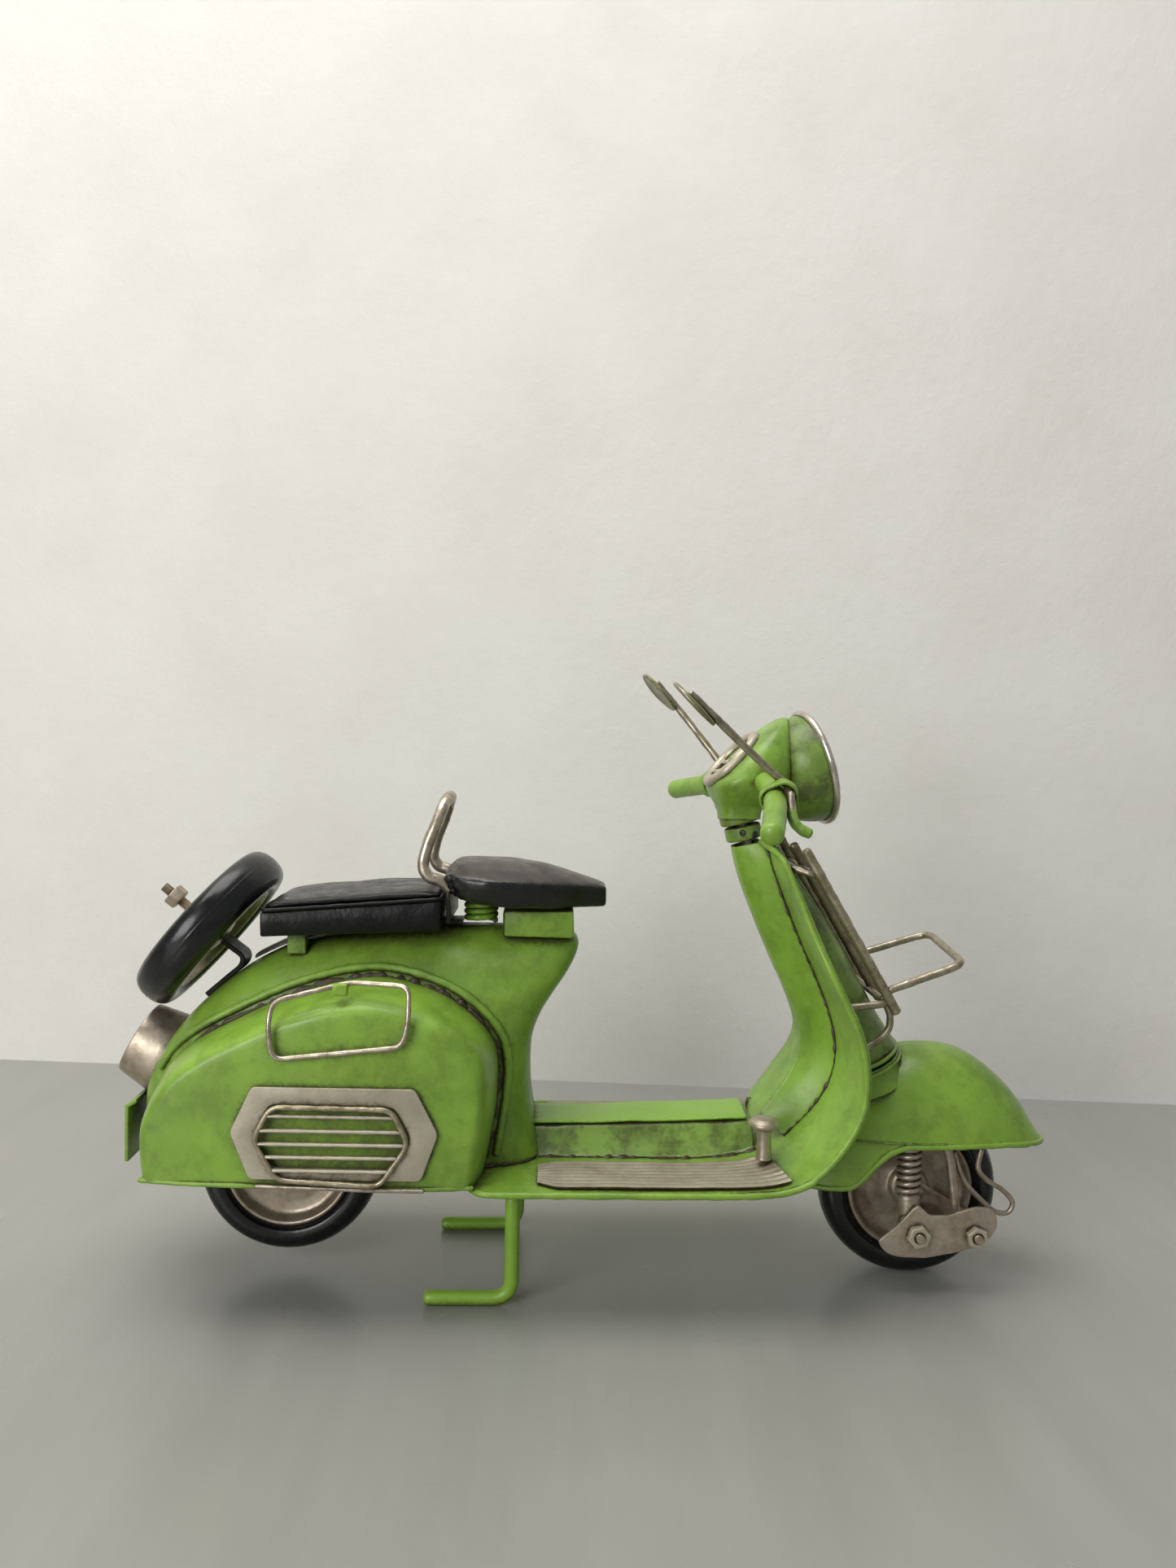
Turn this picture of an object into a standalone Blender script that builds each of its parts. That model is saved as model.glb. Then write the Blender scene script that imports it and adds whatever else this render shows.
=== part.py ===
"""Tin model motor scooter on its centre stand.

Every length is in millimetres and becomes metres through MM.  +X points forward,
+Z up, the rider's right is -Y, and the origin lies under the middle of the model.
"""
import math

import bmesh
import bpy
from mathutils import Matrix, Vector

MM = 0.001
GAP = 0.35                              # air left between pieces that touch

# ---- driving dimensions -------------------------------------------------------
WHEEL_R = 25.3                          # outside radius of the tyres
TYRE_HALF = 5.8
BEAD_R = 18.0                           # where the tyre sits on the rim
REAR_HUB = (-84.0, 0.0, 30.9)           # the rear wheel hangs clear of the ground
FRONT_HUB = (92.2, 0.0, WHEEL_R)
SPARE_HUB = (-106.9, 0.0, 96.7)
SPARE_LEAN = math.radians(40.0)         # of the spare wheel's axis above the horizontal

RAKE = math.radians(21.4)               # of the steering column from the vertical
HEAD_CENTRE = (42.6, 0.0, 127.0)        # a point of the steering axis, at the neck
HEAD_TURN = math.radians(8.5)           # the bars are clamped this far out of line
NECK_TILT = math.radians(14.0)
LAMP_CENTRE = (62.4, 0.0, 144.2)
LAMP_TILT = math.radians(15.8)

TIN = 0.9                               # thickness of the pressed sheet
FLOOR_Z = 35.7                          # top of the floor
FLOOR_HALF = 38.0
BODY_BOTTOM = 36.3
COWL_OUT = 38.3                         # outermost y of a side cowl
STAND_PIVOT = (-20.2, 0.0, 31.8)
STAND_ROD = 2.0                         # radius
STAND_HALF = 24.0
SEGMENTS = 28                           # sides of the large turned pieces

RIGHT, LEFT = -1, 1                     # signs of y

# ---- scene and materials ------------------------------------------------------
for old in list(bpy.data.objects):
    bpy.data.objects.remove(old)
PARTS = bpy.data.collections.new("tin_motor_scooter")
CUTTERS = bpy.data.collections.new("cutters")
bpy.context.scene.collection.children.link(PARTS)
bpy.context.scene.collection.children.link(CUTTERS)


def material(name, colour, roughness, metallic=0.0):
    made = bpy.data.materials.new(name)
    made.use_nodes = True
    shader = made.node_tree.nodes["Principled BSDF"]
    shader.inputs["Base Color"].default_value = (*colour, 1.0)
    shader.inputs["Roughness"].default_value = roughness
    shader.inputs["Metallic"].default_value = metallic
    return made


GREEN = material("green_enamel", (0.20, 0.47, 0.04), 0.35)
SILVER = material("silver_paint", (0.56, 0.50, 0.43), 0.40, 0.8)
CHROME = material("bright_wire", (0.66, 0.62, 0.56), 0.25, 1.0)
RUBBER = material("black_rubber", (0.015, 0.015, 0.016), 0.45)
SEAT = material("black_seat", (0.02, 0.018, 0.017), 0.50)
BLACK = material("black_paint", (0.03, 0.03, 0.025), 0.45)
GLASS = material("lamp_glass", (0.75, 0.78, 0.76), 0.12)


# ---- helpers ------------------------------------------------------------------
def metres(point):
    return Vector(point) * MM


def add_object(name, data, paint):
    made = bpy.data.objects.new(name, data)
    PARTS.objects.link(made)
    if paint is not None:
        made.data.materials.append(paint)
    return made


def smooth(made, angle=35.0):
    made.data.shade_smooth()
    made.data.set_sharp_from_angle(angle=math.radians(angle))
    return made


def loft(name, rows, paint, ring=False, caps=False, flip=False):
    """A skin through rows of equally many points; a ring joins each row's ends."""
    mesh = bpy.data.meshes.new(name)
    work = bmesh.new()
    grid = [[work.verts.new(metres(point)) for point in row] for row in rows]
    count = len(rows[0])
    for upper, lower in zip(grid, grid[1:]):
        for i in range(count if ring else count - 1):
            j = (i + 1) % count
            work.faces.new((upper[i], upper[j], lower[j], lower[i]))
    if caps:
        work.faces.new(list(reversed(grid[0])))
        work.faces.new(grid[-1])
    bmesh.ops.remove_doubles(work, verts=work.verts, dist=1e-6)
    if ring and caps:
        bmesh.ops.recalc_face_normals(work, faces=work.faces)
    elif flip:
        bmesh.ops.reverse_faces(work, faces=work.faces)
    work.to_mesh(mesh)
    work.free()
    return smooth(add_object(name, mesh, paint))


def thicken(made, thickness=TIN):
    """Turn an open skin into sheet metal, growing on its inner side."""
    solid = made.modifiers.new("sheet", "SOLIDIFY")
    solid.thickness = thickness * MM
    solid.offset = -1.0
    solid.use_even_offset = True
    return made


def axis_matrix(centre, direction):
    """A frame at centre whose z axis points along direction."""
    turn = Vector(direction).to_track_quat("Z", "Y").to_matrix().to_4x4()
    return Matrix.Translation(metres(centre)) @ turn


def turned(name, profile, centre, direction, paint, steps=SEGMENTS, closed=False):
    """A turned solid: (radius, height) pairs down the outer side, about direction."""
    mesh = bpy.data.meshes.new(name)
    count = len(profile)
    edges = [(i, i + 1) for i in range(count - 1)]
    if closed:
        edges.append((count - 1, 0))
    mesh.from_pydata([metres((radius, 0.0, height)) for radius, height in profile], edges, [])
    made = add_object(name, mesh, paint)
    screw = made.modifiers.new("turn", "SCREW")
    screw.axis = "Z"
    screw.angle = math.tau
    screw.steps = steps
    screw.render_steps = steps
    screw.use_merge_vertices = True
    screw.merge_threshold = 1e-5
    screw.use_smooth_shade = True
    made.matrix_world = axis_matrix(centre, direction)
    return made


def rod(name, points, radius, paint, cyclic=False):
    """A round rod or wire through points."""
    curve = bpy.data.curves.new(name, "CURVE")
    curve.dimensions = "3D"
    curve.bevel_depth = radius * MM
    curve.bevel_resolution = 2
    curve.resolution_u = 1
    curve.render_resolution_u = 0
    curve.use_fill_caps = not cyclic
    spline = curve.splines.new("POLY")
    spline.points.add(len(points) - 1)
    for slot, point in zip(spline.points, points):
        slot.co = (*metres(point), 1.0)
    spline.use_cyclic_u = cyclic
    return add_object(name, curve, paint)


def plate(name, outline, thickness, matrix, paint, holes=()):
    """A flat plate; outline and holes are (x, y) loops in the frame of matrix."""
    curve = bpy.data.curves.new(name, "CURVE")
    curve.dimensions = "2D"
    curve.fill_mode = "BOTH"
    curve.extrude = thickness / 2.0 * MM
    curve.resolution_u = 1
    curve.render_resolution_u = 0
    for loop in (outline, *holes):
        spline = curve.splines.new("POLY")
        spline.points.add(len(loop) - 1)
        for slot, (x, y) in zip(spline.points, loop):
            slot.co = (x * MM, y * MM, 0.0, 1.0)
        spline.use_cyclic_u = True
    made = add_object(name, curve, paint)
    made.matrix_world = matrix
    return made


def side_frame(y, x=0.0, z=0.0):
    """Local x, y become world x, z, in the upright plane at y."""
    return Matrix.Translation(metres((x, y, z))) @ Matrix.Rotation(math.pi / 2.0, 4, "X")


def block(name, low, high, paint, bevel=0.0):
    size = [b - a for a, b in zip(low, high)]
    centre = [(a + b) / 2.0 for a, b in zip(low, high)]
    work = bmesh.new()
    bmesh.ops.create_cube(work, size=1.0)
    bmesh.ops.scale(work, vec=Vector(size) * MM, verts=work.verts)
    mesh = bpy.data.meshes.new(name)
    work.to_mesh(mesh)
    work.free()
    made = add_object(name, mesh, paint)
    made.location = metres(centre)
    if bevel:
        edge = made.modifiers.new("edge", "BEVEL")
        edge.width = bevel * MM
        edge.segments = 2
    return made


def as_mesh(made):
    """Replace a curve object by a welded mesh object of the same name."""
    name = made.name
    place = made.matrix_world.copy()
    bpy.context.view_layer.update()
    seen = made.evaluated_get(bpy.context.evaluated_depsgraph_get())
    mesh = bpy.data.meshes.new_from_object(seen)
    work = bmesh.new()
    work.from_mesh(mesh)
    bmesh.ops.remove_doubles(work, verts=work.verts, dist=1e-7)
    work.to_mesh(mesh)
    work.free()
    bpy.data.objects.remove(made)
    mesh.name = name
    fresh = bpy.data.objects.new(name, mesh)
    PARTS.objects.link(fresh)
    fresh.matrix_world = place
    return smooth(fresh)


def as_tool(made):
    """Hide an object that only shapes others."""
    PARTS.objects.unlink(made)
    CUTTERS.objects.link(made)
    made.hide_render = True
    made.display_type = "WIRE"
    return made


def shape_with(made, tool, operation):
    change = made.modifiers.new(tool.name, "BOOLEAN")
    change.operation = operation
    change.solver = "EXACT"
    change.object = tool
    return made


def joined(made, *others):
    for other in others:
        shape_with(made, as_tool(other), "UNION")
    return made


def blend(points, place):
    """A point of a smooth curve through points; place counts them from 0."""
    last = len(points) - 1
    i = min(int(place), last - 1)
    t = place - i
    before = points[max(i - 1, 0)]
    after = points[min(i + 2, last)]
    found = []
    for p0, p1, p2, p3 in zip(before, points[i], points[i + 1], after):
        found.append(0.5 * (2 * p1 + (p2 - p0) * t + (2 * p0 - 5 * p1 + 4 * p2 - p3) * t ** 2
                            + (3 * p1 - p0 - 3 * p2 + p3) * t ** 3))
    return tuple(found)


def flowing(points, per_span=3):
    """A smooth run of points through the given ones."""
    count = (len(points) - 1) * per_span
    return [blend(points, i / per_span) for i in range(count + 1)]


def filleted(points, radius, steps=3, cyclic=False):
    """Round the corners of a run of straight lines."""
    found = []
    count = len(points)
    for i, point in enumerate(points):
        here = Vector(point)
        if not cyclic and i in (0, count - 1):
            found.append(tuple(here))
            continue
        back = Vector(points[i - 1]) - here
        ahead = Vector(points[(i + 1) % count]) - here
        reach = min(radius, 0.45 * back.length, 0.45 * ahead.length)
        start = here + back.normalized() * reach
        end = here + ahead.normalized() * reach
        for step in range(steps + 1):
            t = step / steps
            found.append(tuple(start * (1 - t) ** 2 + here * 2 * t * (1 - t) + end * t ** 2))
    return found


def table_value(table, key):
    """Read a table of (key, value, ...) rows at key, with straight lines between."""
    rows = sorted(table)
    if key <= rows[0][0]:
        return rows[0][1:]
    for low, high in zip(rows, rows[1:]):
        if key <= high[0]:
            t = (key - low[0]) / (high[0] - low[0])
            return tuple(a + (b - a) * t for a, b in zip(low[1:], high[1:]))
    return rows[-1][1:]


def oval(angle, power):
    """Unit superellipse: (cosine, sine) parts at angle, squarer as power grows."""
    c, s = math.cos(angle), math.sin(angle)
    exponent = 2.0 / power
    return math.copysign(abs(c) ** exponent, c), math.copysign(abs(s) ** exponent, s)


def hexagon(x, y, across):
    """Corners of a hexagon with the given width across its flats."""
    radius = across / math.sqrt(3.0)
    return [(x + radius * math.cos(i * math.pi / 3.0), y + radius * math.sin(i * math.pi / 3.0))
            for i in range(6)]


def circle(x, y, radius, steps=12):
    return [(x + radius * math.cos(i * math.tau / steps), y + radius * math.sin(i * math.tau / steps))
            for i in range(steps)]


def empty(name, point):
    made = bpy.data.objects.new(name, None)
    PARTS.objects.link(made)
    made.location = metres(point)
    return made


def carry(parent, *children):
    """Parent pieces that are modelled in place."""
    bpy.context.view_layer.update()
    for child in children:
        child.parent = parent
        child.matrix_parent_inverse = Matrix.Translation(-parent.location)


# ---- the steering axis --------------------------------------------------------
DOWN = (math.sin(RAKE), -math.cos(RAKE))            # (x, z) along the axis
AHEAD = (math.cos(RAKE), math.sin(RAKE))            # (x, z) square to it, forwards
STEM_R = 1.6


def axis_point(down, ahead=0.0, y=0.0):
    """A point given by its distance down the steering axis and ahead of it."""
    return (HEAD_CENTRE[0] + down * DOWN[0] + ahead * AHEAD[0], y,
            HEAD_CENTRE[2] + down * DOWN[1] + ahead * AHEAD[1])


def along_axis(x, z):
    return (x - HEAD_CENTRE[0]) * DOWN[0] + (z - HEAD_CENTRE[2]) * DOWN[1]


STEER_UP = (-DOWN[0], 0.0, -DOWN[1])

# ---- rear body ----------------------------------------------------------------
# height: rear x, front x, half width
BODY_LEVELS = [
    (BODY_BOTTOM, -121.0, -12.8, 21.8), (42.0, -121.6, -14.5, 22.0), (50.0, -122.2, -16.0, 22.0),
    (57.0, -121.2, -16.5, 21.7), (63.0, -118.4, -16.5, 21.2), (69.0, -114.4, -15.8, 20.5),
    (75.0, -109.5, -13.6, 19.6), (80.5, -103.8, -10.4, 18.2), (85.5, -97.4, -7.0, 16.2),
    (89.5, -90.4, -4.8, 14.0), (92.5, -83.6, -3.7, 11.8), (94.8, -75.0, -3.6, 9.6),
    (96.6, -65.0, -5.4, 7.2), (97.8, -54.0, -11.0, 4.8), (98.5, -43.0, -22.0, 2.4),
]
BODY_POWER = 4.0


def body_rows(grow=0.0, levels=BODY_LEVELS, sides=28):
    rows = []
    for z, rear, front, half in levels:
        middle = (rear + front) / 2.0
        reach = (front - rear) / 2.0 + grow
        rows.append([(middle + reach * c, (half + grow) * s, z + (grow if z > 90.0 else 0.0))
                     for c, s in (oval(i * math.tau / sides, BODY_POWER) for i in range(sides))])
    return rows


def body_half(x, z):
    """Half width of the body at a point of its side."""
    rear, front, half = table_value(BODY_LEVELS, z)
    reach = abs(x - (rear + front) / 2.0) / ((front - rear) / 2.0)
    return half * max(0.0, 1.0 - min(reach, 1.0) ** BODY_POWER) ** (1.0 / BODY_POWER)


def top_capped(made):
    """Close the last ring of an open loft."""
    work = bmesh.new()
    work.from_mesh(made.data)
    top = max(vertex.co.z for vertex in work.verts)
    work.faces.new([v for v in work.verts if v.co.z > top - 1e-7])
    bmesh.ops.recalc_face_normals(work, faces=work.faces)
    work.to_mesh(made.data)
    work.free()
    return smooth(made)


def body_tool(name):
    """The body's outside as a closed solid, a gap larger, for neighbours to be cut by."""
    levels = [(0.0, *BODY_LEVELS[0][1:])] + BODY_LEVELS
    return as_tool(loft(name, body_rows(0.55, levels), None, ring=True, caps=True))


def make_body():
    shell = top_capped(loft("body_shell", body_rows(), GREEN, ring=True))
    thicken(shell)
    ridge = [(-93.6, 88.4), (-84.6, 92.7), (-73.5, 95.8), (-62.3, 97.6),
             (-51.0, 98.6), (-36.0, 99.0)]
    rows = []
    for x, z in ridge:
        lower = z + 0.3
        rows.append([(x, -4.5, lower), (x, 4.5, lower), (x, 4.5, lower + 1.0), (x, -4.5, lower + 1.0)])
    loft("ridge_strip", rows, BLACK, ring=True, caps=True)
    return shell


# ---- side cowls ---------------------------------------------------------------
COWL_RIM = [(-116.6, 38.0), (-117.4, 45.0), (-117.0, 52.5), (-112.8, 61.5), (-109.0, 66.4),
            (-101.8, 71.6), (-92.2, 76.6), (-83.4, 80.6), (-73.6, 83.9), (-64.6, 85.9),
            (-55.8, 86.4), (-46.4, 84.6), (-37.8, 81.4), (-31.0, 76.6), (-26.4, 70.8),
            (-24.8, 64.6), (-25.0, 56.0), (-26.2, 47.0), (-28.0, 36.3)]
COWL_FOOT = (-71.0, 37.1)               # middle of the straight lower edge
# fraction of the way out from the foot, and how far the cowl has bulged there
COWL_BULGE = [(1.0, 0.0), (0.986, 0.34), (0.968, 0.62), (0.945, 0.82), (0.915, 0.925),
              (0.86, 0.965), (0.65, 0.985), (0.35, 0.997), (0.0, 1.0)]


def make_cowl(name, side):
    rows = []
    for share, bulge in COWL_BULGE:
        row = []
        for x, z in COWL_RIM:
            edge = body_half(x, z) + 0.85 + max(0.0, -100.0 - x) * 0.08
            row.append((COWL_FOOT[0] + (x - COWL_FOOT[0]) * share,
                        side * (edge + (COWL_OUT - edge) * bulge),
                        COWL_FOOT[1] + (z - COWL_FOOT[1]) * share))
        rows.append(row)
    return thicken(loft(name, rows, GREEN, flip=side == RIGHT), 0.8)


GRILLE_PLATE = [(-90.9, 51.4), (-85.6, 63.0), (-44.6, 62.7), (-38.8, 51.1), (-43.0, 39.2), (-86.2, 39.5)]
GRILLE_WINDOW = [(-85.4, 50.4), (-81.2, 58.6), (-50.0, 58.2), (-45.4, 50.2), (-50.0, 42.2), (-80.4, 42.4)]
GRILLE_RING = [(-84.9, 50.0), (-80.6, 58.3), (-50.4, 57.8), (-46.1, 49.0), (-53.4, 38.2), (-79.0, 39.8)]
RING_R = 0.65
SLATS = [(56.0, -81.2, -50.0), (52.3, -83.0, -48.0), (48.9, -83.6, -47.2), (45.6, -81.6, -49.2),
         (42.2, -80.0, -51.2)]          # height and the two ends
SLAT_HIGH = 1.2


def make_grille():
    """Louvre of the right cowl: a hexagonal plate with five slats in a wire ring."""
    plate_y = -(COWL_OUT + GAP + 0.45)
    as_mesh(plate("grille_plate", GRILLE_PLATE, 0.9, side_frame(plate_y), SILVER, [GRILLE_WINDOW]))
    ring_y = plate_y - 0.45 - GAP - RING_R
    ring = as_mesh(rod("grille_louvre", filleted([(x, ring_y, z) for x, z in GRILLE_RING], 2.5, 2, True),
                       RING_R, SILVER, cyclic=True))
    bars = [block("slat_tool_%d" % i, (left, ring_y - 0.5, z - SLAT_HIGH / 2.0),
                  (right, ring_y + 0.5, z + SLAT_HIGH / 2.0), None)
            for i, (z, left, right) in enumerate(SLATS)]
    joined(ring, *bars)


GUARD_LOOP = [(-81.0, -37.6, 84.2), (-81.6, -39.5, 78.0), (-80.4, -39.6, 70.0), (-48.2, -39.6, 73.4),
              (-46.6, -39.5, 79.0), (-46.9, -36.2, 88.2), (-62.0, -34.2, 88.6)]
GUARD_R = 0.7


def make_guard(name, side):
    """Bright wire guard over a cowl's shoulder, with its small clip block."""
    loop = [(x, y * -side, z) for x, y, z in GUARD_LOOP]
    wire = as_mesh(rod(name, filleted(loop, 2.6, 3, True), GUARD_R, CHROME, cyclic=True))
    clip = block(name + "_clip_tool", (-66.6, min(-34.0 * -side, -36.4 * -side), 86.0),
                 (-62.2, max(-34.0 * -side, -36.4 * -side), 89.3), None)
    return joined(wire, clip)


# ---- tail ---------------------------------------------------------------------
TAIL_CENTRE = (-119.4, 0.0, 61.2)
TAIL_LEAN = math.radians(28.0)
TAIL_OUT = (-math.cos(TAIL_LEAN), 0.0, math.sin(TAIL_LEAN))
PLATE_OUTLINE = [(-126.2, 34.4), (-126.2, 49.8), (-123.1, 51.6), (-122.9, 50.7), (-125.2, 49.3), (-125.2, 34.4)]
PLATE_HALF = 14.0


def make_tail():
    can = turned("tail_lamp", [(0.0, 7.4), (9.2, 7.4), (9.5, 8.4), (10.3, 8.4), (11.5, 0.0), (11.6, -7.0),
                               (10.8, -7.0), (10.7, 0.0), (9.7, 6.6), (0.0, 6.6)],
                 TAIL_CENTRE, TAIL_OUT, SILVER, 24)
    shape_with(can, body_tool("body_tool_tail"), "DIFFERENCE")
    flange = as_mesh(plate("number_plate", PLATE_OUTLINE, 2 * PLATE_HALF, side_frame(0.0), GREEN))
    notch = turned("plate_notch_tool", [(0.0, 9.0), (12.1, 9.0), (12.1, -9.0), (0.0, -9.0)],
                   TAIL_CENTRE, TAIL_OUT, None, 24)
    shape_with(flange, as_tool(notch), "DIFFERENCE")


# ---- wheels -------------------------------------------------------------------
def make_tyre(name, centre, direction):
    profile = [(BEAD_R + 0.5, 4.4), (20.2, TYRE_HALF), (22.8, 5.5), (24.6, 3.6), (WHEEL_R, 0.0),
               (24.6, -3.6), (22.8, -5.5), (20.2, -TYRE_HALF), (BEAD_R + 0.5, -4.4)]
    return turned(name, profile, centre, direction, RUBBER, closed=True)


def make_rim(name, centre, direction, bore):
    profile = [(bore, 4.2), (5.0, 4.2), (6.2, 2.6), (12.0, 2.0), (15.8, 2.8), (16.9, 4.9), (BEAD_R, 4.9),
               (BEAD_R, -4.9), (16.9, -4.9), (15.8, -2.8), (12.0, -2.0), (6.2, -2.6), (5.0, -4.2), (bore, -4.2)]
    return turned(name, profile, centre, direction, SILVER, 24, closed=True)


ACROSS_Y = (0.0, -1.0, 0.0)
AXLE_R = 1.5
BORE_R = AXLE_R + GAP


def make_rear_wheel():
    hub = empty("rear_wheel_pivot", REAR_HUB)
    carry(hub, make_tyre("rear_tyre", REAR_HUB, ACROSS_Y), make_rim("rear_rim", REAR_HUB, ACROSS_Y, BORE_R))
    x, _, z = REAR_HUB
    end, head, leg = 11.6, 3.0, 9.0     # axle end, head radius, inner face of a leg
    turned("rear_axle", [(0.0, end), (head, end), (head, leg + 1.2 + GAP), (AXLE_R, leg + 1.2 + GAP),
                         (AXLE_R, -leg - 1.2 - GAP), (head, -leg - 1.2 - GAP), (head, -end), (0.0, -end)],
           REAR_HUB, ACROSS_Y, CHROME, 12)
    # strap over the wheel that carries the axle from the body's sides
    top = 60.0
    strap = block("rear_axle_bracket", (x - 4.0, -19.8, top), (x + 4.0, 19.8, top + 1.2), BLACK)
    tools = []
    for side in (RIGHT, LEFT):
        near, far = sorted((side * leg, side * (leg + 1.2)))
        tools.append(block("strap_tool_%d" % side, (x - 3.6, near, z - 4.5), (x + 3.6, far, top + 0.6), None))
    joined(strap, *tools)
    bore = turned("axle_bore_tool", [(0.0, 14.0), (BORE_R, 14.0), (BORE_R, -14.0), (0.0, -14.0)],
                  REAR_HUB, ACROSS_Y, None, 12)
    shape_with(strap, as_tool(bore), "DIFFERENCE")


def make_spare():
    out = (-math.cos(SPARE_LEAN), 0.0, math.sin(SPARE_LEAN))
    make_tyre("spare_tyre", SPARE_HUB, out)
    make_rim("spare_rim", SPARE_HUB, out, 1.8)
    bolt = turned("spare_bolt", [(0.0, 17.5), (1.0, 17.5), (1.45, 16.8), (1.45, -4.2), (0.0, -4.2)],
                  SPARE_HUB, out, CHROME, 12)
    nut = plate("spare_nut_tool", hexagon(0.0, 0.0, 5.5), 3.2, axis_matrix(SPARE_HUB, out)
                @ Matrix.Translation((0.0, 0.0, 13.0 * MM)), CHROME)
    joined(bolt, as_mesh(nut))
    # strap from behind the hub, round and down on to the body's slope
    path = [(-103.1, 93.5), (-100.2, 91.3), (-97.5, 89.0), (-97.9, 86.4), (-101.0, 83.6), (-108.4, 77.2)]
    rows = []
    smooth_path = flowing([(x, 0.0, z) for x, z in path], 2)
    for i, (x, _, z) in enumerate(smooth_path):
        ahead = smooth_path[min(i + 1, len(smooth_path) - 1)]
        behind = smooth_path[max(i - 1, 0)]
        run = Vector((ahead[0] - behind[0], 0.0, ahead[2] - behind[2])).normalized() * 0.7
        rows.append([(x - run.z, -4.0, z + run.x), (x - run.z, 4.0, z + run.x),
                     (x + run.z, 4.0, z - run.x), (x + run.z, -4.0, z - run.x)])
    strip = loft("spare_bracket", rows, BLACK, ring=True, caps=True)
    shape_with(strip, body_tool("body_tool_spare"), "DIFFERENCE")


# ---- seats --------------------------------------------------------------------
PILLION_REAR, PILLION_FRONT, PILLION_HALF = -88.8, -41.0, 18.8
PILLION_BOX = [(PILLION_REAR, 97.2, 103.8), (PILLION_FRONT, 99.4, 107.6)]   # x, bottom, top


def box_rows(stations, power=6.0, sides=16):
    """Rounded box sections (x, low z, high z, half width) along x."""
    rows = []
    for x, low, high, half in stations:
        middle, reach = (low + high) / 2.0, (high - low) / 2.0
        rows.append([(x, half * c, middle + reach * s)
                     for c, s in (oval((i + 0.5) * math.tau / sides, power) for i in range(sides))])
    return rows


def make_pillion():
    half = PILLION_HALF
    base = loft("pillion_base", [[(x, -half, low), (x, half, low), (x, half, high), (x, -half, high)]
                                 for x, low, high in PILLION_BOX], SEAT, ring=True, caps=True)
    groove = block("strip_groove_tool", (PILLION_REAR - 5.0, -5.4, 90.0), (PILLION_FRONT + 5.0, 5.4, 101.0), None)
    shape_with(base, as_tool(groove), "DIFFERENCE")
    pad = []
    for share, inset, crown in [(0.0, 2.0, 0.6), (0.03, 0.5, 1.7), (0.15, 0.0, 2.6), (0.5, 0.0, 2.9), (0.85, 0.0, 2.5),
                                (0.97, 0.4, 1.9), (1.0, 1.6, 1.0)]:
        x = PILLION_REAR + 0.4 + (PILLION_FRONT - PILLION_REAR - 0.4) * share
        low = table_value(PILLION_BOX, x)[1] + GAP
        pad.append((x, low, low + crown, half - inset))
    loft("pillion_pad", box_rows(pad, 5.0), SEAT, ring=True, caps=True)
    joined(base, block("post_tool", (-83.0, -12.5, 91.6), (-78.0, -8.5, 99.0), None))
    shape_with(base, body_tool("body_tool_post"), "DIFFERENCE")


SADDLE_STATIONS = [(-38.6, 112.3, 115.6, 15.0), (-36.4, 109.8, 116.6, 18.0), (-33.0, 106.8, 117.0, 19.6),
                   (-26.0, 105.6, 116.9, 20.2), (-18.0, 105.2, 115.8, 18.6), (-10.0, 104.9, 114.2, 14.6),
                   (-3.0, 104.6, 112.3, 9.4), (2.0, 104.4, 110.9, 6.4), (4.4, 104.3, 110.1, 5.2)]


def make_saddle():
    loft("saddle", box_rows(SADDLE_STATIONS, 3.2, 20), SEAT, ring=True, caps=True)
    mount = block("saddle_bracket", (-24.6, -11.0, 96.6), (-5.0, 11.0, 104.0), GREEN, 0.8)
    shape_with(mount, body_tool("body_tool_saddle"), "DIFFERENCE")
    turns, per_turn, pitch, radius = 3.0, 10, 1.62, 3.3
    points = []
    for i in range(int(turns * per_turn) + 1):
        angle = i * math.tau / per_turn
        points.append((-30.8 + radius * math.cos(angle), radius * math.sin(angle), 99.9 + pitch * i / per_turn))
    rod("saddle_spring", points, 0.68, GREEN)
    half = [(-39.1, -13.0, 110.2), (-41.6, -13.3, 112.3), (-44.6, -13.5, 113.4), (-46.2, -13.3, 116.4),
            (-45.2, -13.0, 121.6), (-42.8, -11.8, 128.0), (-41.2, -8.4, 132.8), (-40.5, -3.6, 134.4)]
    whole = half + [(x, -y, z) for x, y, z in reversed(half)]
    handle = as_mesh(rod("grab_handle", flowing(whole, 2), 1.65, CHROME))
    joined(handle, block("handle_foot_tool", (-39.8, -14.4, 100.8), (-38.8, 14.4, 110.6), None))


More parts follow.
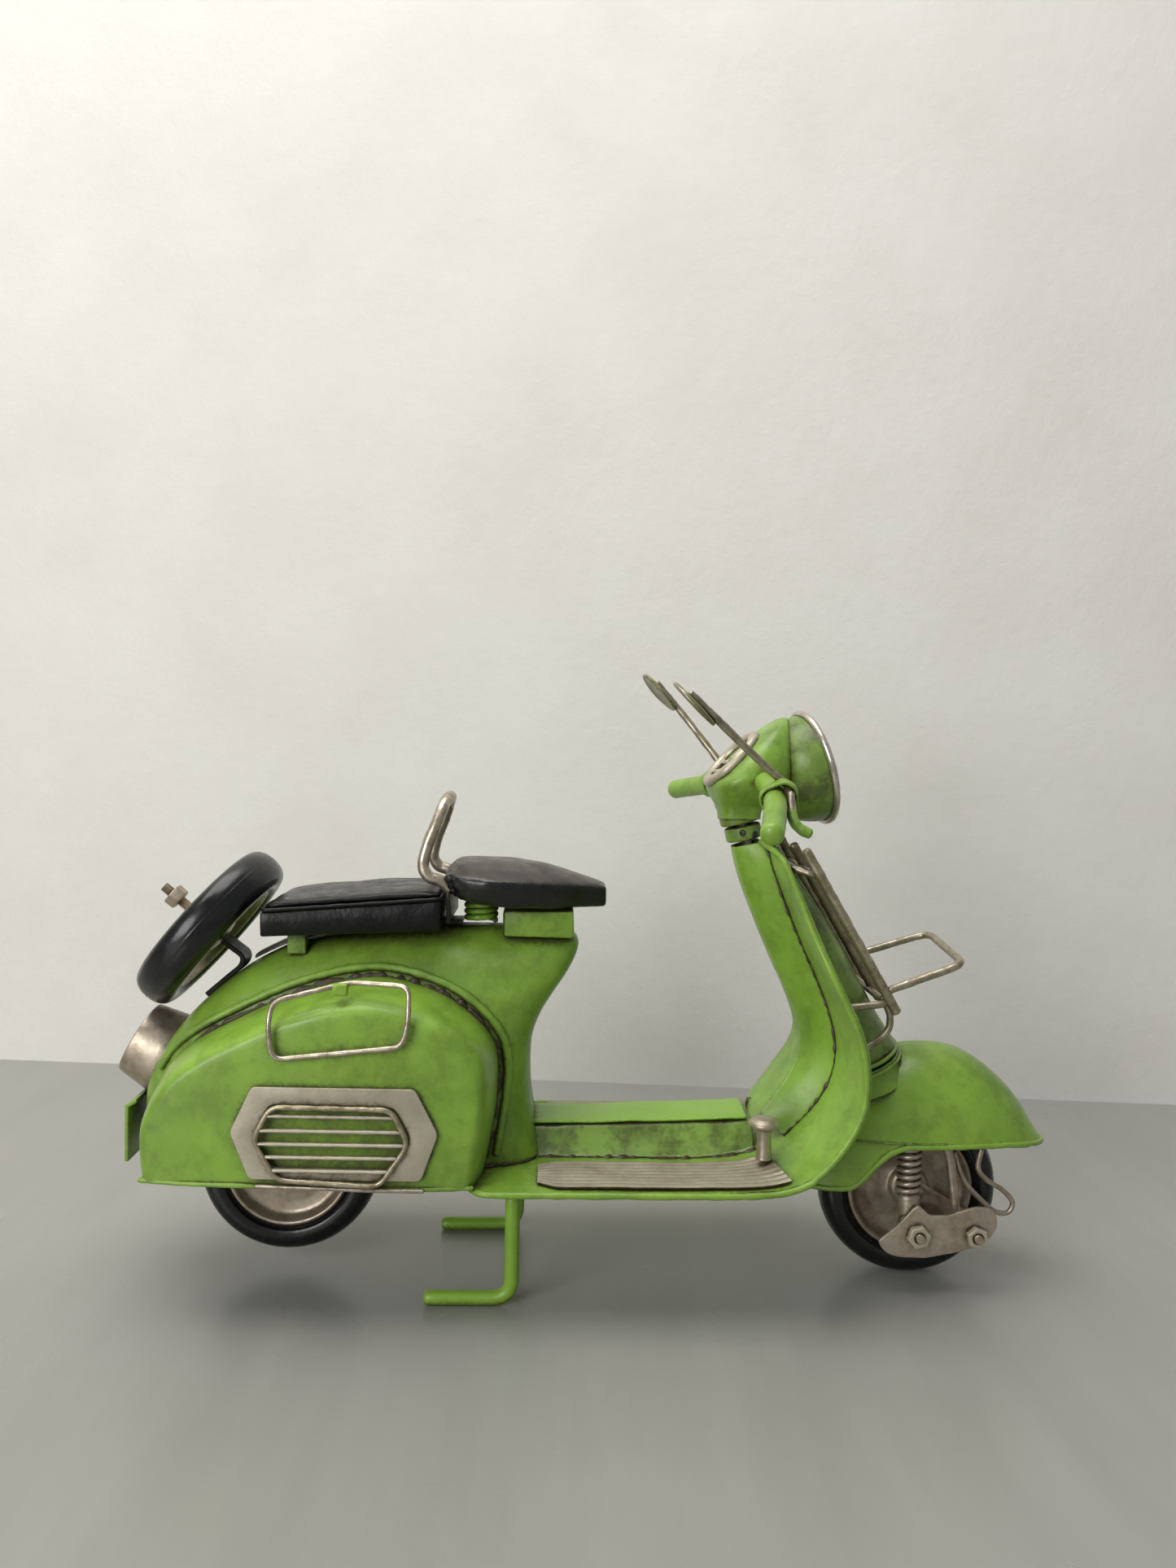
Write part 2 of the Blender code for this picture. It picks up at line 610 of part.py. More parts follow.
# ---- shield and floor, one pressed sheet --------------------------------------
# centre x, z, edge x, z and half width, from the neck down and back along the floor
SHEET = [
    (46.1, 123.7, 47.4, 123.7, 7.0), (47.2, 120.2, 51.6, 120.2, 14.5), (48.6, 116.4, 53.2, 116.4, 18.2),
    (50.5, 111.8, 54.8, 111.8, 21.2), (54.2, 103.6, 57.2, 103.6, 27.2), (58.0, 95.0, 60.6, 95.0, 32.0),
    (62.0, 86.1, 64.6, 86.1, 34.5), (64.7, 78.8, 68.0, 78.8, 35.7), (66.3, 71.1, 70.2, 71.1, 36.7),
    (66.1, 64.0, 70.7, 64.0, 37.3), (63.7, 57.4, 69.9, 57.4, 37.7), (59.8, 51.4, 67.2, 51.2, FLOOR_HALF),
    (55.2, 45.8, 62.8, 44.8, FLOOR_HALF), (50.8, 41.2, 57.4, 39.6, FLOOR_HALF),
    (45.8, 38.4, 51.2, 37.0, FLOOR_HALF), (39.0, 36.6, 43.6, 36.0, FLOOR_HALF),
    (28.0, FLOOR_Z, 30.0, FLOOR_Z, FLOOR_HALF), (10.0, FLOOR_Z, 10.0, FLOOR_Z, FLOOR_HALF),
    (-8.0, FLOOR_Z, -8.0, FLOOR_Z, FLOOR_HALF), (-22.0, FLOOR_Z, -22.0, FLOOR_Z, FLOOR_HALF),
    (-27.6, FLOOR_Z, -27.0, FLOOR_Z, 37.4), (-31.6, FLOOR_Z, -30.2, FLOOR_Z, 34.4),
]


def sheet_normal(place):
    """(x, z) of the rider's side of the sheet, square to its centre line."""
    a = blend(SHEET, max(place - 0.1, 0.0))
    b = blend(SHEET, min(place + 0.1, len(SHEET) - 1.0))
    run = Vector((b[0] - a[0], b[1] - a[1])).normalized()
    return run.y, -run.x


SHEET_COLUMNS = 12


def sheet_point(place, y, lift=0.0):
    """A point of the pressed sheet's facets at y, raised towards the rider by lift."""
    row = min(int(place), len(SHEET) - 2)
    t = place - row
    cx, cz, ex, ez, half = [a + (b - a) * t for a, b in zip(SHEET[row], SHEET[row + 1])]
    column = min(abs(y) / half, 1.0) * SHEET_COLUMNS / 2.0
    low = int(column)
    share = (low ** 2 + (column - low) * (2 * low + 1)) * (2.0 / SHEET_COLUMNS) ** 2
    nx, nz = sheet_normal(place)
    return (cx + (ex - cx) * share + lift * nx, y, cz + (ez - cz) * share + lift * nz)


def make_sheet():
    rows = []
    for place in range(len(SHEET)):
        half = SHEET[place][4]
        rows.append([sheet_point(place, half * (2.0 * i / SHEET_COLUMNS - 1.0))
                     for i in range(SHEET_COLUMNS + 1)])
    sheet = thicken(loft("shield_and_floor", rows, GREEN))
    bore = STEM_R + GAP
    hole = turned("stem_hole_tool", [(0.0, -1.0), (bore, -1.0), (bore, -84.0), (0.0, -84.0)],
                  HEAD_CENTRE, STEER_UP, None, 12)
    shape_with(sheet, as_tool(hole), "DIFFERENCE")


# place on the sheet, half width at the sheet, ridge half width, depth to the ridge
COLUMN_ROWS = [(0.0, 6.6, 3.0, 6.6), (1.0, 8.6, 3.0, 7.0), (2.0, 9.5, 3.0, 7.4), (3.0, 10.2, 3.0, 7.6),
               (4.0, 11.0, 3.0, 7.8), (5.0, 11.8, 3.2, 7.9), (6.0, 12.5, 3.4, 7.8), (7.0, 13.6, 4.0, 7.4), (8.0, 14.8, 5.4, 7.0), (9.0, 15.4, 7.2, 7.6),
               (10.0, 15.4, 8.4, 8.2), (11.0, 15.0, 9.0, 8.2), (11.7, 14.2, 9.0, 8.0), (12.5, 13.4, 9.0, 7.6)]


COVER_LIFT = 0.95


def make_column():
    """The channel on the rider's side that hides the column and flares into the floor."""
    rows = []
    for place, foot, ridge, depth in COLUMN_ROWS:
        half = [(foot, COVER_LIFT), ((foot + ridge) / 2.0 + 0.4, depth * 0.62), (ridge + 0.9, depth * 0.93),
                (ridge - 0.4, depth), (0.0, depth + 0.25)]
        section = [(-y, lift) for y, lift in half] + [(y, lift) for y, lift in reversed(half[:-1])]
        rows.append([sheet_point(place, y, lift) for y, lift in section])
    thicken(loft("column_cover", rows, GREEN), 0.7)


# distance down the axis: front reach ahead of it, half width
HORN_FRONTS = [(6.0, 6.6, 4.6), (21.0, 9.8, 6.2), (36.0, 13.0, 8.2), (56.0, 15.9, 11.6), (68.0, 18.0, 14.0),
               (73.3, 19.7, 15.2)]
HORN_PLACES = [1.0, 2.0, 3.0, 4.0, 5.0, 6.0, 7.0, 8.0, 9.0, 10.0]
HORN_BOTTOM = 73.3
SHEET_CLEAR = TIN + 0.5


def make_horn_cover():
    """The front cover of the column, from the neck down to the fender's collar."""
    rows = []
    sides = 12
    for place in HORN_PLACES:
        cx, cz = blend(SHEET, place)[:2]
        down = min(along_axis(cx, cz), HORN_BOTTOM)
        reach, half = table_value(HORN_FRONTS, down)
        back = sheet_point(place, half, -SHEET_CLEAR)
        front = axis_point(down, reach)
        row = []
        for i in range(sides + 1):
            angle = math.pi * (i / sides - 0.5)
            c, s = oval(angle, 2.3)
            row.append((back[0] + (front[0] - back[0]) * c, half * s, back[2] + (front[2] - back[2]) * c))
        rows.append(row)
    thicken(loft("horn_cover", rows, GREEN), 0.8)


def make_tunnel():
    # place on the sheet, half width at foot and top, top height
    rows, cap_rows = [], []
    for place, foot, top, height in [(18.9, 11.0, 7.8, 43.5), (18.0, 11.0, 7.8, 43.7), (17.0, 11.0, 7.8, 44.2),
                                     (16.0, 11.0, 7.8, 44.8), (15.0, 10.8, 7.8, 45.2), (14.0, 10.6, 7.8, 45.6)]:
        low = sheet_point(place, foot, 0.6)
        section = [(-foot, low[2]), (-top - 0.5, height - 1.2), (-top + 0.5, height), (top - 0.5, height),
                   (top + 0.5, height - 1.2), (foot, low[2])]
        rows.append([(low[0], y, z) for y, z in section])
        if place < 18.5:
            cap_rows.append([(low[0] - 1.6, y, height + 0.95 + extra) for y, extra in
                             ((-8.3, -0.1), (-4.0, 0.25), (0.0, 0.35), (4.0, 0.25), (8.3, -0.1))])
    tunnel = thicken(loft("floor_tunnel", rows, GREEN, flip=True), 0.6)
    shape_with(tunnel, body_tool("body_tool_tunnel"), "DIFFERENCE")
    thicken(loft("tunnel_strip", cap_rows, GREEN, flip=True), 0.6)


def make_mat(name, side):
    """Ribbed tread strip on the floor; its front end climbs the foot of the shield."""
    rows = []
    inner, outer = 17.4, 35.4
    for place, x_shift in [(18.36, 0.0), (18.0, 0.0), (17.0, 0.0), (16.0, 0.0), (15.0, 0.0), (14.0, 0.0),
                           (13.7, 0.0)]:
        trim = 3.0 if place > 18.2 else 0.0
        rows.append([sheet_point(place, side * (inner + trim + (outer - inner - 2 * trim) * i / 4.0), GAP + 0.85)
                     for i in range(5)])
    return thicken(loft(name, rows, SILVER, flip=side == LEFT), 0.75)


def make_pedal():
    foot = sheet_point(14.05, -23.6, 2.6)
    x, y, z = foot
    turned("brake_pedal", [(0.0, 11.4), (2.2, 11.2), (3.9, 10.2), (4.3, 9.2), (3.6, 8.4), (2.0, 8.2), (2.0, 0.0),
                           (0.0, 0.0)], (x, y, z), (0.0, 0.0, 1.0), SILVER, 14)


# ---- centre stand -------------------------------------------------------------
def make_stand():
    x, _, z = STAND_PIVOT
    half = [(-42.5, -STAND_HALF, STAND_ROD), (x, -STAND_HALF, STAND_ROD), (x, -STAND_HALF, z)]
    whole = half + [(a, -b, c) for a, b, c in reversed(half)]
    stand = rod("centre_stand", filleted(whole, 5.5, 3), STAND_ROD, GREEN)
    carry(empty("stand_pivot", STAND_PIVOT), stand)
    inner, outer = STAND_ROD + GAP, STAND_ROD + GAP + 0.7
    arc = [(x + outer * math.cos(a), z - outer * math.sin(a)) for a in
           (i * math.pi / 8.0 for i in range(9))]
    hollow = [(x + inner * math.cos(a), z - inner * math.sin(a)) for a in
              (math.pi - i * math.pi / 8.0 for i in range(9))]
    flange = FLOOR_Z - TIN - GAP
    outline = [(x + 7.0, flange), (x + 7.0, flange - 0.7), (x + outer, flange - 0.7), *arc,
               (x - outer, flange - 0.7), (x - 7.0, flange - 0.7), (x - 7.0, flange),
               (x - inner, flange), *hollow, (x + inner, flange)]
    as_mesh(plate("stand_bracket", outline, 14.0, side_frame(0.0), GREEN))


# ---- front carrier ------------------------------------------------------------
RACK_TOP, RACK_LOW = (57.3, 122.2), (82.9, 78.9)
RACK_RAILS = (-18.0, 0.0, 18.0)
RAIL_R, CROSS_R, LOOP_R = 1.3, 1.0, 1.05


def rack_point(share, back):
    """(x, z) on the plane of the rails, a share of the way down, set back from it."""
    run = Vector((RACK_LOW[0] - RACK_TOP[0], RACK_LOW[1] - RACK_TOP[1]))
    square = Vector((run.y, -run.x)).normalized() * back
    return RACK_TOP[0] + run.x * share + square.x, RACK_TOP[1] + run.y * share + square.y


def make_rack():
    rails = [as_mesh(rod("rack_rail_tool_%d" % i, [(RACK_TOP[0], y, RACK_TOP[1]), (RACK_LOW[0], y, RACK_LOW[1])],
                         RAIL_R, CHROME)) for i, y in enumerate(RACK_RAILS)]
    crosses = []
    clear = SHEET_CLEAR + CROSS_R + 0.15
    # share of the way down the rails, then place and y of the wall feet, right and left
    for i, (share, right_foot, left_foot) in enumerate(((0.13, (2.0, -15.5), (0.9, 12.0)),
                                                        (0.93, (7.0, -17.4), (6.9, 17.4)))):
        x, z = rack_point(share, 1.3)
        near, far = sheet_point(*right_foot, -clear), sheet_point(*left_foot, -clear)
        path = [near, (x, -19.2, z), (x, 19.2, z), far]
        if i == 0:
            path[-1:] = [(x - 3.4, 16.0, z + 3.6), far]
        crosses.append(as_mesh(rod("rack_cross_tool_%d" % i, filleted(path, 3.0), CROSS_R, CHROME)))
    x, z = rack_point(0.9, 1.2)
    legs = []
    for i, side in enumerate((RIGHT, LEFT)):
        foot = sheet_point(8.75, 17.5, -clear)
        path = [(x, side * 17.0, z), (x + 2.2, side * 17.2, z - 5.4), (x + 0.4, side * 17.4, z - 10.6),
                (foot[0], side * 17.5, foot[2])]
        legs.append(as_mesh(rod("rack_leg_tool_%d" % i, flowing(path, 3), CROSS_R, CHROME)))
    frame = rails[0]
    frame.name = "rack_frame"
    joined(frame, crosses[0], *rails[1:], crosses[1], *legs)
    arm_x, arm_z = rack_point(0.88, -2.1)
    corner = [(arm_x, -18.0, arm_z), (101.2, -18.0, 92.2), (102.6, 18.0, 94.6), (arm_x + 1.0, 18.0, arm_z + 3.4)]
    rod("rack_loop", filleted(corner, 5.0, 4), LOOP_R, CHROME)


# ---- steering: neck, headset, lamp -------------------------------------------
HEADSET_LEVELS = [(129.5, 35.9, 47.2, 6.2), (132.6, 35.4, 48.0, 6.8), (136.0, 33.9, 52.6, 10.6), (139.2, 33.0, 55.0, 13.0),
                  (142.0, 35.2, 55.4, 13.6), (146.0, 38.8, 55.4, 13.2), (150.0, 42.6, 55.3, 11.6),
                  (153.6, 46.4, 55.2, 9.2), (156.6, 50.4, 55.0, 6.0), (158.4, 53.2, 54.9, 2.6)]
BAR_R = 3.0
# the bars are bent by hand, so each side has its own droop
BAR_RIGHT = [(35.2, -49.3, 126.5), (39.6, -38.0, 131.4), (43.0, -27.0, 136.2), (44.8, -14.0, 139.6)]
BAR_LEFT = [(44.8, 14.0, 140.0), (42.2, 27.0, 139.8), (39.2, 38.0, 139.2), (35.5, 50.6, 138.2)]
WIRE_R = 1.05
RING_CENTRE = (41.6, 0.0, 130.05)


def make_headset(head):
    rows = []
    for z, rear, front, half in HEADSET_LEVELS:
        middle, reach = (rear + front) / 2.0, (front - rear) / 2.0
        rows.append([(middle + reach * c, half * s, z) for c, s in
                     (oval(i * math.tau / 20, 3.0) for i in range(20))])
    shell = thicken(top_capped(loft("headset", rows, GREEN, ring=True)), 0.8)

    lamp_out = (math.cos(LAMP_TILT), 0.0, math.sin(LAMP_TILT))
    inner = [(0.0, -10.8), (7.7, -10.3), (11.4, -8.5), (13.5, -5.7), (14.5, -2.4), (14.8, 0.0)]
    outer = [(15.6, 0.0), (15.3, -2.5), (14.2, -6.0), (12.0, -9.0), (8.0, -11.0), (0.0, -11.6)]
    bucket = turned("lamp_bucket", inner + outer, LAMP_CENTRE, lamp_out, GREEN)
    tool = turned("lamp_seat_tool", [(0.0, 2.0), (16.0, 2.0)] + [(r + GAP if r else 0.0, h - GAP)
                                                                  for r, h in outer],
                  LAMP_CENTRE, lamp_out, None, 28)
    shape_with(shell, as_tool(tool), "DIFFERENCE")
    rim_ring = [(15.9 + 1.1 * math.cos(i * math.tau / 8), 1.55 - 1.1 * math.sin(i * math.tau / 8))
                for i in range(8)]
    rim = turned("lamp_rim", rim_ring, LAMP_CENTRE, lamp_out, CHROME, closed=True)
    lens = turned("lamp_lens", [(0.0, 2.6), (6.0, 2.2), (11.0, 1.0), (14.2, -0.6), (14.2, -1.6), (0.0, -1.6)],
                  LAMP_CENTRE, lamp_out, GLASS)

    slope = math.radians(46.0)
    face = (-math.sin(slope), 0.0, math.cos(slope))
    dial_centre = (40.1, 0.0, 145.6)
    dial_stretch = Matrix.Diagonal((1.0, 1.13, 1.0, 1.0))
    dial = turned("dial", [(0.0, 0.9), (6.6, 0.9), (7.0, 1.8), (8.4, 1.8), (8.7, 1.2), (8.7, -2.0), (0.0, -2.0)],
                  dial_centre, face, SILVER, 20)
    dial.matrix_world = dial.matrix_world @ dial_stretch
    seat = turned("dial_seat_tool", [(0.0, 4.0), (8.7 + GAP, 4.0), (8.7 + GAP, -2.0 - GAP), (0.0, -2.0 - GAP)],
                  dial_centre, face, None, 20)
    seat.matrix_world = seat.matrix_world @ dial_stretch
    shape_with(shell, as_tool(seat), "DIFFERENCE")

    neck_up = (-math.sin(NECK_TILT), 0.0, math.cos(NECK_TILT))
    neck = turned("neck_cut_tool", [(0.0, 1.9 + GAP), (14.0, 1.9 + GAP), (14.0, -8.0), (0.0, -8.0)],
                  RING_CENTRE, neck_up, None, 16)
    shape_with(shell, as_tool(neck), "DIFFERENCE")

    bars = rod("handlebar", BAR_RIGHT + BAR_LEFT, BAR_R, GREEN)
    bar_tool = as_tool(as_mesh(rod("bar_hole_tool", BAR_RIGHT[1:] + BAR_LEFT[:-1], BAR_R + GAP, None)))
    shape_with(shell, bar_tool, "DIFFERENCE")
    carry(head, shell, bucket, rim, lens, dial, bars, tool, seat, bar_tool, neck)


def make_controls(head, name, bar, side, route, disc_centre, disc_axis):
    """The mirror stem and brake lever are one wire, held to the bar by a tin band."""
    root, end = (Vector(bar[2]), Vector(bar[1])) if side == RIGHT else (Vector(bar[1]), Vector(bar[2]))
    outwards = (end - root).normalized()
    middle = root + outwards * 2.4
    front = Vector((0.8, 0.0, 0.55))
    front = (front - outwards * front.dot(outwards)).normalized()
    up = outwards.cross(front)
    frame = Matrix.Translation(middle * MM) @ Matrix((front, up, outwards)).transposed().to_4x4()
    inner, reach = BAR_R + 0.5, 2.6     # the band's hole: end radius, and its length besides

    def stadium(radius):
        turns = [math.pi / 2.0 + i * math.pi / 6.0 for i in range(14)]
        return [((reach if i > 6 else 0.0) + radius * math.cos(a - (math.pi / 6.0 if i > 6 else 0.0)),
                 radius * math.sin(a - (math.pi / 6.0 if i > 6 else 0.0))) for i, a in enumerate(turns)]

    band = as_mesh(plate("band_" + name, stadium(inner + 0.7), 2.8, frame, GREEN, [stadium(inner)]))
    held = middle + front * (BAR_R + WIRE_R + 0.42)
    rise = up * (0.5 if side == RIGHT else -0.5)
    points = []
    for point in route:
        points += [point] if point else [tuple(held + outwards * 1.9 - rise), tuple(held - outwards * 1.9 + rise)]
    wire = as_mesh(rod("mirror_" + name, flowing(points, 3), WIRE_R, CHROME))
    disc = turned("mirror_disc_tool_" + name, [(0.0, 0.6), (7.0, 0.6), (7.5, 0.0), (7.0, -0.6), (0.0, -0.6)],
                  disc_centre, disc_axis, CHROME, 20)
    joined(wire, disc)
    carry(head, band, wire, disc)


def make_head(steering):
    head = empty("head_pivot", HEAD_CENTRE)
    make_headset(head)
    route_right = [(48.8, -38.0, 126.5), (46.6, -37.0, 127.8), (45.2, -35.2, 130.6), None,
                   (41.8, -29.2, 142.0), (34.1, -31.0, 148.2), (25.6, -33.2, 155.3), (18.3, -34.0, 161.6)]
    route_left = [(48.4, 40.0, 131.4), (46.8, 38.6, 133.0), (45.6, 35.8, 137.4), None,
                  (43.4, 27.4, 146.4), (38.1, 31.0, 154.5), (31.5, 34.0, 163.6), (25.0, 34.0, 170.8)]
    make_controls(head, "right", BAR_RIGHT, RIGHT, route_right, (19.4, -34.0, 159.0), (0.683, -0.239, 0.690))
    make_controls(head, "left", BAR_LEFT, LEFT, route_left, (25.7, 34.0, 168.0), (0.734, -0.07, 0.676))
    neck_up = (-math.sin(NECK_TILT), 0.0, math.cos(NECK_TILT))
    bore = STEM_R + 1.1
    ring = turned("neck_ring", [(5.0, 1.9), (5.6, 1.5), (5.6, -1.5), (5.3, -1.9), (bore, -1.9), (bore, 1.9)],
                  RING_CENTRE, neck_up, GREEN, 20, closed=True)
    carry(head, ring)
    head.parent = steering
    head.matrix_parent_inverse = steering.matrix_world.inverted()
    head.rotation_mode = "AXIS_ANGLE"
    head.rotation_axis_angle = (HEAD_TURN, *STEER_UP)
    turned("neck_collar", [(5.0, 2.1), (5.2, 1.8), (5.2, -1.8), (5.0, -2.1), (bore, -2.1), (bore, 2.1)],
           (42.95, 0.0, 125.75), neck_up, GREEN, 20, closed=True)


# ---- steering: fender, fork and link ------------------------------------------
FENDER_LEVELS = [(65.5, 91.5, 102.0, 3.5), (64.2, 87.0, 107.0, 7.6), (62.0, 82.0, 111.0, 10.8),
                 (59.0, 76.5, 115.2, 13.4), (55.0, 71.6, 119.4, 15.6), (50.0, 67.6, 123.5, 17.2),
                 (45.0, 64.4, 126.7, 18.0), (41.0, 62.0, 129.2, 18.2), (37.0, 59.6, 131.4, 18.2),
                 (33.0, 57.4, 131.8, 18.0), (28.0, 55.4, 131.8, 17.6)]
# where the lower edge lies, by how far forward on the outline (1 front, -1 rear)
FENDER_HEM = [(-1.0, 27.7), (-0.70, 28.0), (-0.58, 28.8), (-0.50, 31.0), (-0.40, 38.2), (-0.28, 40.4),
              (0.35, 40.6), (0.60, 40.0), (0.86, 38.2), (1.0, 36.4)]
FENDER_POWER = 2.5
COLLAR_TOP = 73.85                      # down the axis, just under the horn cover


def fender_point(z, angle, grow=0.0):
    rear, front, half = table_value(FENDER_LEVELS, z)
    c, s = oval(angle, FENDER_POWER)
    return ((rear + front) / 2.0 + ((front - rear) / 2.0 + grow) * c, (half + grow) * s, z)


def make_fender(steering):
    sides, steps = 32, 8
    top = FENDER_LEVELS[0][0]
    rows = []
    for step in range(steps + 1):
        share = (step / steps) ** 1.25
        row = []
        for i in range(sides):
            angle = i * math.tau / sides
            hem = table_value(FENDER_HEM, oval(angle, FENDER_POWER)[0])[0]
            row.append(fender_point(top - (top - hem) * share, angle))
        rows.append(row)
    fender = thicken(top_capped(loft("front_fender", rows, GREEN, ring=True)), 0.8)
    hole = turned("stem_seat_tool", [(0.0, -66.0), (STEM_R + GAP, -66.0), (STEM_R + GAP, -92.0), (0.0, -92.0)],
                  HEAD_CENTRE, STEER_UP, None, 14)
    shape_with(fender, as_tool(hole), "DIFFERENCE")

    block_levels = [level[0] for level in FENDER_LEVELS]
    solid = [[fender_point(z, i * math.tau / sides, -0.4)[:2] + (z - 0.4,) for i in range(sides)]
             for z in block_levels]
    tool = as_tool(loft("fender_tool", solid, None, ring=True, caps=True))
    tubes = []
    for down in (COLLAR_TOP, COLLAR_TOP + 6.2):
        flare = 0.5 if down > COLLAR_TOP else 0.0
        tubes.append([axis_point(down, 8.5 + (11.2 + flare) * math.cos(a), (14.6 + flare) * math.sin(a))
                      for a in (i * math.tau / 28 for i in range(28))])
    collar = thicken(loft("collar_tool", tubes, GREEN, ring=True), 0.9)
    shape_with(collar, tool, "DIFFERENCE")
    joined(fender, collar)
    carry(steering, fender, collar)


def stem_solid(name, radius, low=-92.0, high=7.0):
    return turned(name, [(0.0, high), (radius, high), (radius, low), (0.0, low)], HEAD_CENTRE, STEER_UP, CHROME, 12)


LINK_Y, LINK_THICK = -16.9, 1.0
LINK_OUTLINE = [(79.9, 15.1), (80.8, 13.2), (82.9, 11.5), (86.1, 10.7), (92.6, 10.5), (100.7, 11.8),
                (106.6, 13.4), (111.4, 16.5), (113.0, 19.4), (112.4, 22.7), (110.3, 24.5), (107.5, 24.9),
                (103.5, 23.7), (99.5, 22.4), (94.3, 22.1), (91.0, 25.0), (89.6, 24.3), (85.8, 20.1)]
REAR_BOLT, FRONT_BOLT = (90.7, 17.0), (106.8, 16.9)
BOLT_R = 1.2
ARM_Y, ARM_THICK = -7.2, 0.8
SPRING_X, SPRING_Y = 89.3, -12.9


def make_fork(steering):
    stem = stem_solid("steering_stem", STEM_R, -80.0, 6.5)
    leg = rod("fork_leg", filleted([(80.0, -6.0, 54.0), (93.0, -12.9, 50.0), (100.4, -12.9, 39.0),
                                    (102.8, -12.9, 20.8)], 4.0), 1.3, SILVER)
    plate_holes = [circle(*REAR_BOLT, BOLT_R + GAP), circle(*FRONT_BOLT, BOLT_R + GAP)]
    link = as_mesh(plate("link_plate", LINK_OUTLINE, LINK_THICK, side_frame(LINK_Y), SILVER, plate_holes))
    x, _, z = FRONT_HUB
    arm_outline = ([(x + 3.6 * math.cos(a), z + 3.6 * math.sin(a)) for a in
                    (math.pi / 4 + i * math.pi / 8 for i in range(8))]
                   + [(REAR_BOLT[0] + 3.0 * math.cos(a), REAR_BOLT[1] + 3.0 * math.sin(a)) for a in
                      (math.pi + i * math.pi / 8 for i in range(4))]
                   + [(FRONT_BOLT[0] + 3.0 * math.cos(a), FRONT_BOLT[1] + 3.0 * math.sin(a)) for a in
                      (-math.pi / 2 + i * math.pi / 8 for i in range(8))])
    arm = as_mesh(plate("axle_arm", arm_outline, ARM_THICK, side_frame(ARM_Y), SILVER,
                        plate_holes + [circle(x, z, BORE_R)]))
    pieces = [stem, leg, link, arm]
    for name, (bolt_x, bolt_z), across in (("link_bolt_rear", REAR_BOLT, 5.6), ("link_bolt_front", FRONT_BOLT, 5.2)):
        outside = -LINK_Y + LINK_THICK / 2.0 + GAP
        inside = -ARM_Y - ARM_THICK / 2.0 - GAP
        pin = turned(name, [(0.0, outside + 2.9), (BOLT_R, outside + 2.9), (BOLT_R, inside), (0.0, inside)],
                     (bolt_x, 0.0, bolt_z), ACROSS_Y, SILVER, 12)
        nut = as_mesh(plate(name + "_nut_tool", hexagon(0.0, 0.0, across), 2.4,
                            side_frame(-outside - 1.2, bolt_x, bolt_z), SILVER))
        spread = turned(name + "_collar_tool", [(0.0, outside - LINK_THICK - 2 * GAP), (2.0, outside - LINK_THICK
                        - 2 * GAP), (2.0, -ARM_Y + ARM_THICK / 2.0 + GAP), (0.0, -ARM_Y + ARM_THICK / 2.0 + GAP)],
                        (bolt_x, 0.0, bolt_z), ACROSS_Y, SILVER, 12)
        joined(pin, nut, spread)
        carry(steering, nut, spread)
        pieces.append(pin)
    axle = turned("front_axle", [(0.0, 9.4), (2.6, 9.4), (2.6, -ARM_Y + ARM_THICK / 2 + GAP),
                                 (AXLE_R, -ARM_Y + ARM_THICK / 2 + GAP), (AXLE_R, -6.6), (3.0, -6.6), (3.0, -8.8),
                                 (0.0, -8.8)], FRONT_HUB, ACROSS_Y, CHROME, 12)
    turns, per_turn, radius, wire = 7, 8, 2.8, 0.62
    low, high = 27.2, 39.6
    points = []
    for i in range(turns * per_turn + 1):
        angle = i * math.tau / per_turn
        points.append((SPRING_X + radius * math.cos(angle), SPRING_Y + radius * math.sin(angle),
                       low + (high - low) * i / (turns * per_turn)))
    spring = as_mesh(rod("front_spring", points, wire, SILVER))
    cup = turned("spring_cup_tool", [(0.0, 27.5), (2.4, 27.5), (3.1, 26.4), (3.1, 21.4), (0.0, 21.4)],
                 (SPRING_X, SPRING_Y, 0.0), (0.0, 0.0, 1.0), SILVER, 12)
    joined(spring, cup)
    cable_route = [(102.6, 37.6), (105.8, 29.4), (111.6, 23.2), (115.2, 20.6), (118.6, 20.6), (119.6, 23.6),
                   (116.6, 27.0), (112.0, 29.8), (109.6, 33.2), (110.4, 38.4)]
    cable = rod("brake_cable", flowing([(a, -10.2, b) for a, b in cable_route], 2), 0.6, SILVER)
    carry(steering, axle, spring, cup, cable, *pieces)
    hub = empty("front_wheel_pivot", FRONT_HUB)
    carry(hub, make_tyre("front_tyre", FRONT_HUB, ACROSS_Y), make_rim("front_rim", FRONT_HUB, ACROSS_Y, BORE_R))
    hub.parent = steering
    hub.matrix_parent_inverse = steering.matrix_world.inverted()


# ---- build --------------------------------------------------------------------
def main():
    make_body()
    for name, side in (("right", RIGHT), ("left", LEFT)):
        make_cowl("side_cowl_" + name, side)
        make_guard("cowl_guard_" + name, side)
        make_mat("floor_mat_" + name, side)
    make_grille()
    make_tail()
    make_spare()
    make_pillion()
    make_saddle()
    make_sheet()
    make_column()
    make_horn_cover()
    make_tunnel()
    make_pedal()
    make_stand()
    make_rack()
    make_rear_wheel()
    steering = empty("steering_pivot", HEAD_CENTRE)
    bpy.context.view_layer.update()
    make_head(steering)
    make_fender(steering)
    make_fork(steering)
    bpy.context.view_layer.update()


main()
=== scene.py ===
"""Looks of the tin model motor scooter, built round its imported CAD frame.

Every length is in millimetres and becomes metres through MM.  +X points forward,
+Z up, and the rider's right is -Y, which is the side that the camera sees.
"""
import math

import bmesh
import bpy
import numpy as np
from mathutils import Matrix, Vector, noise


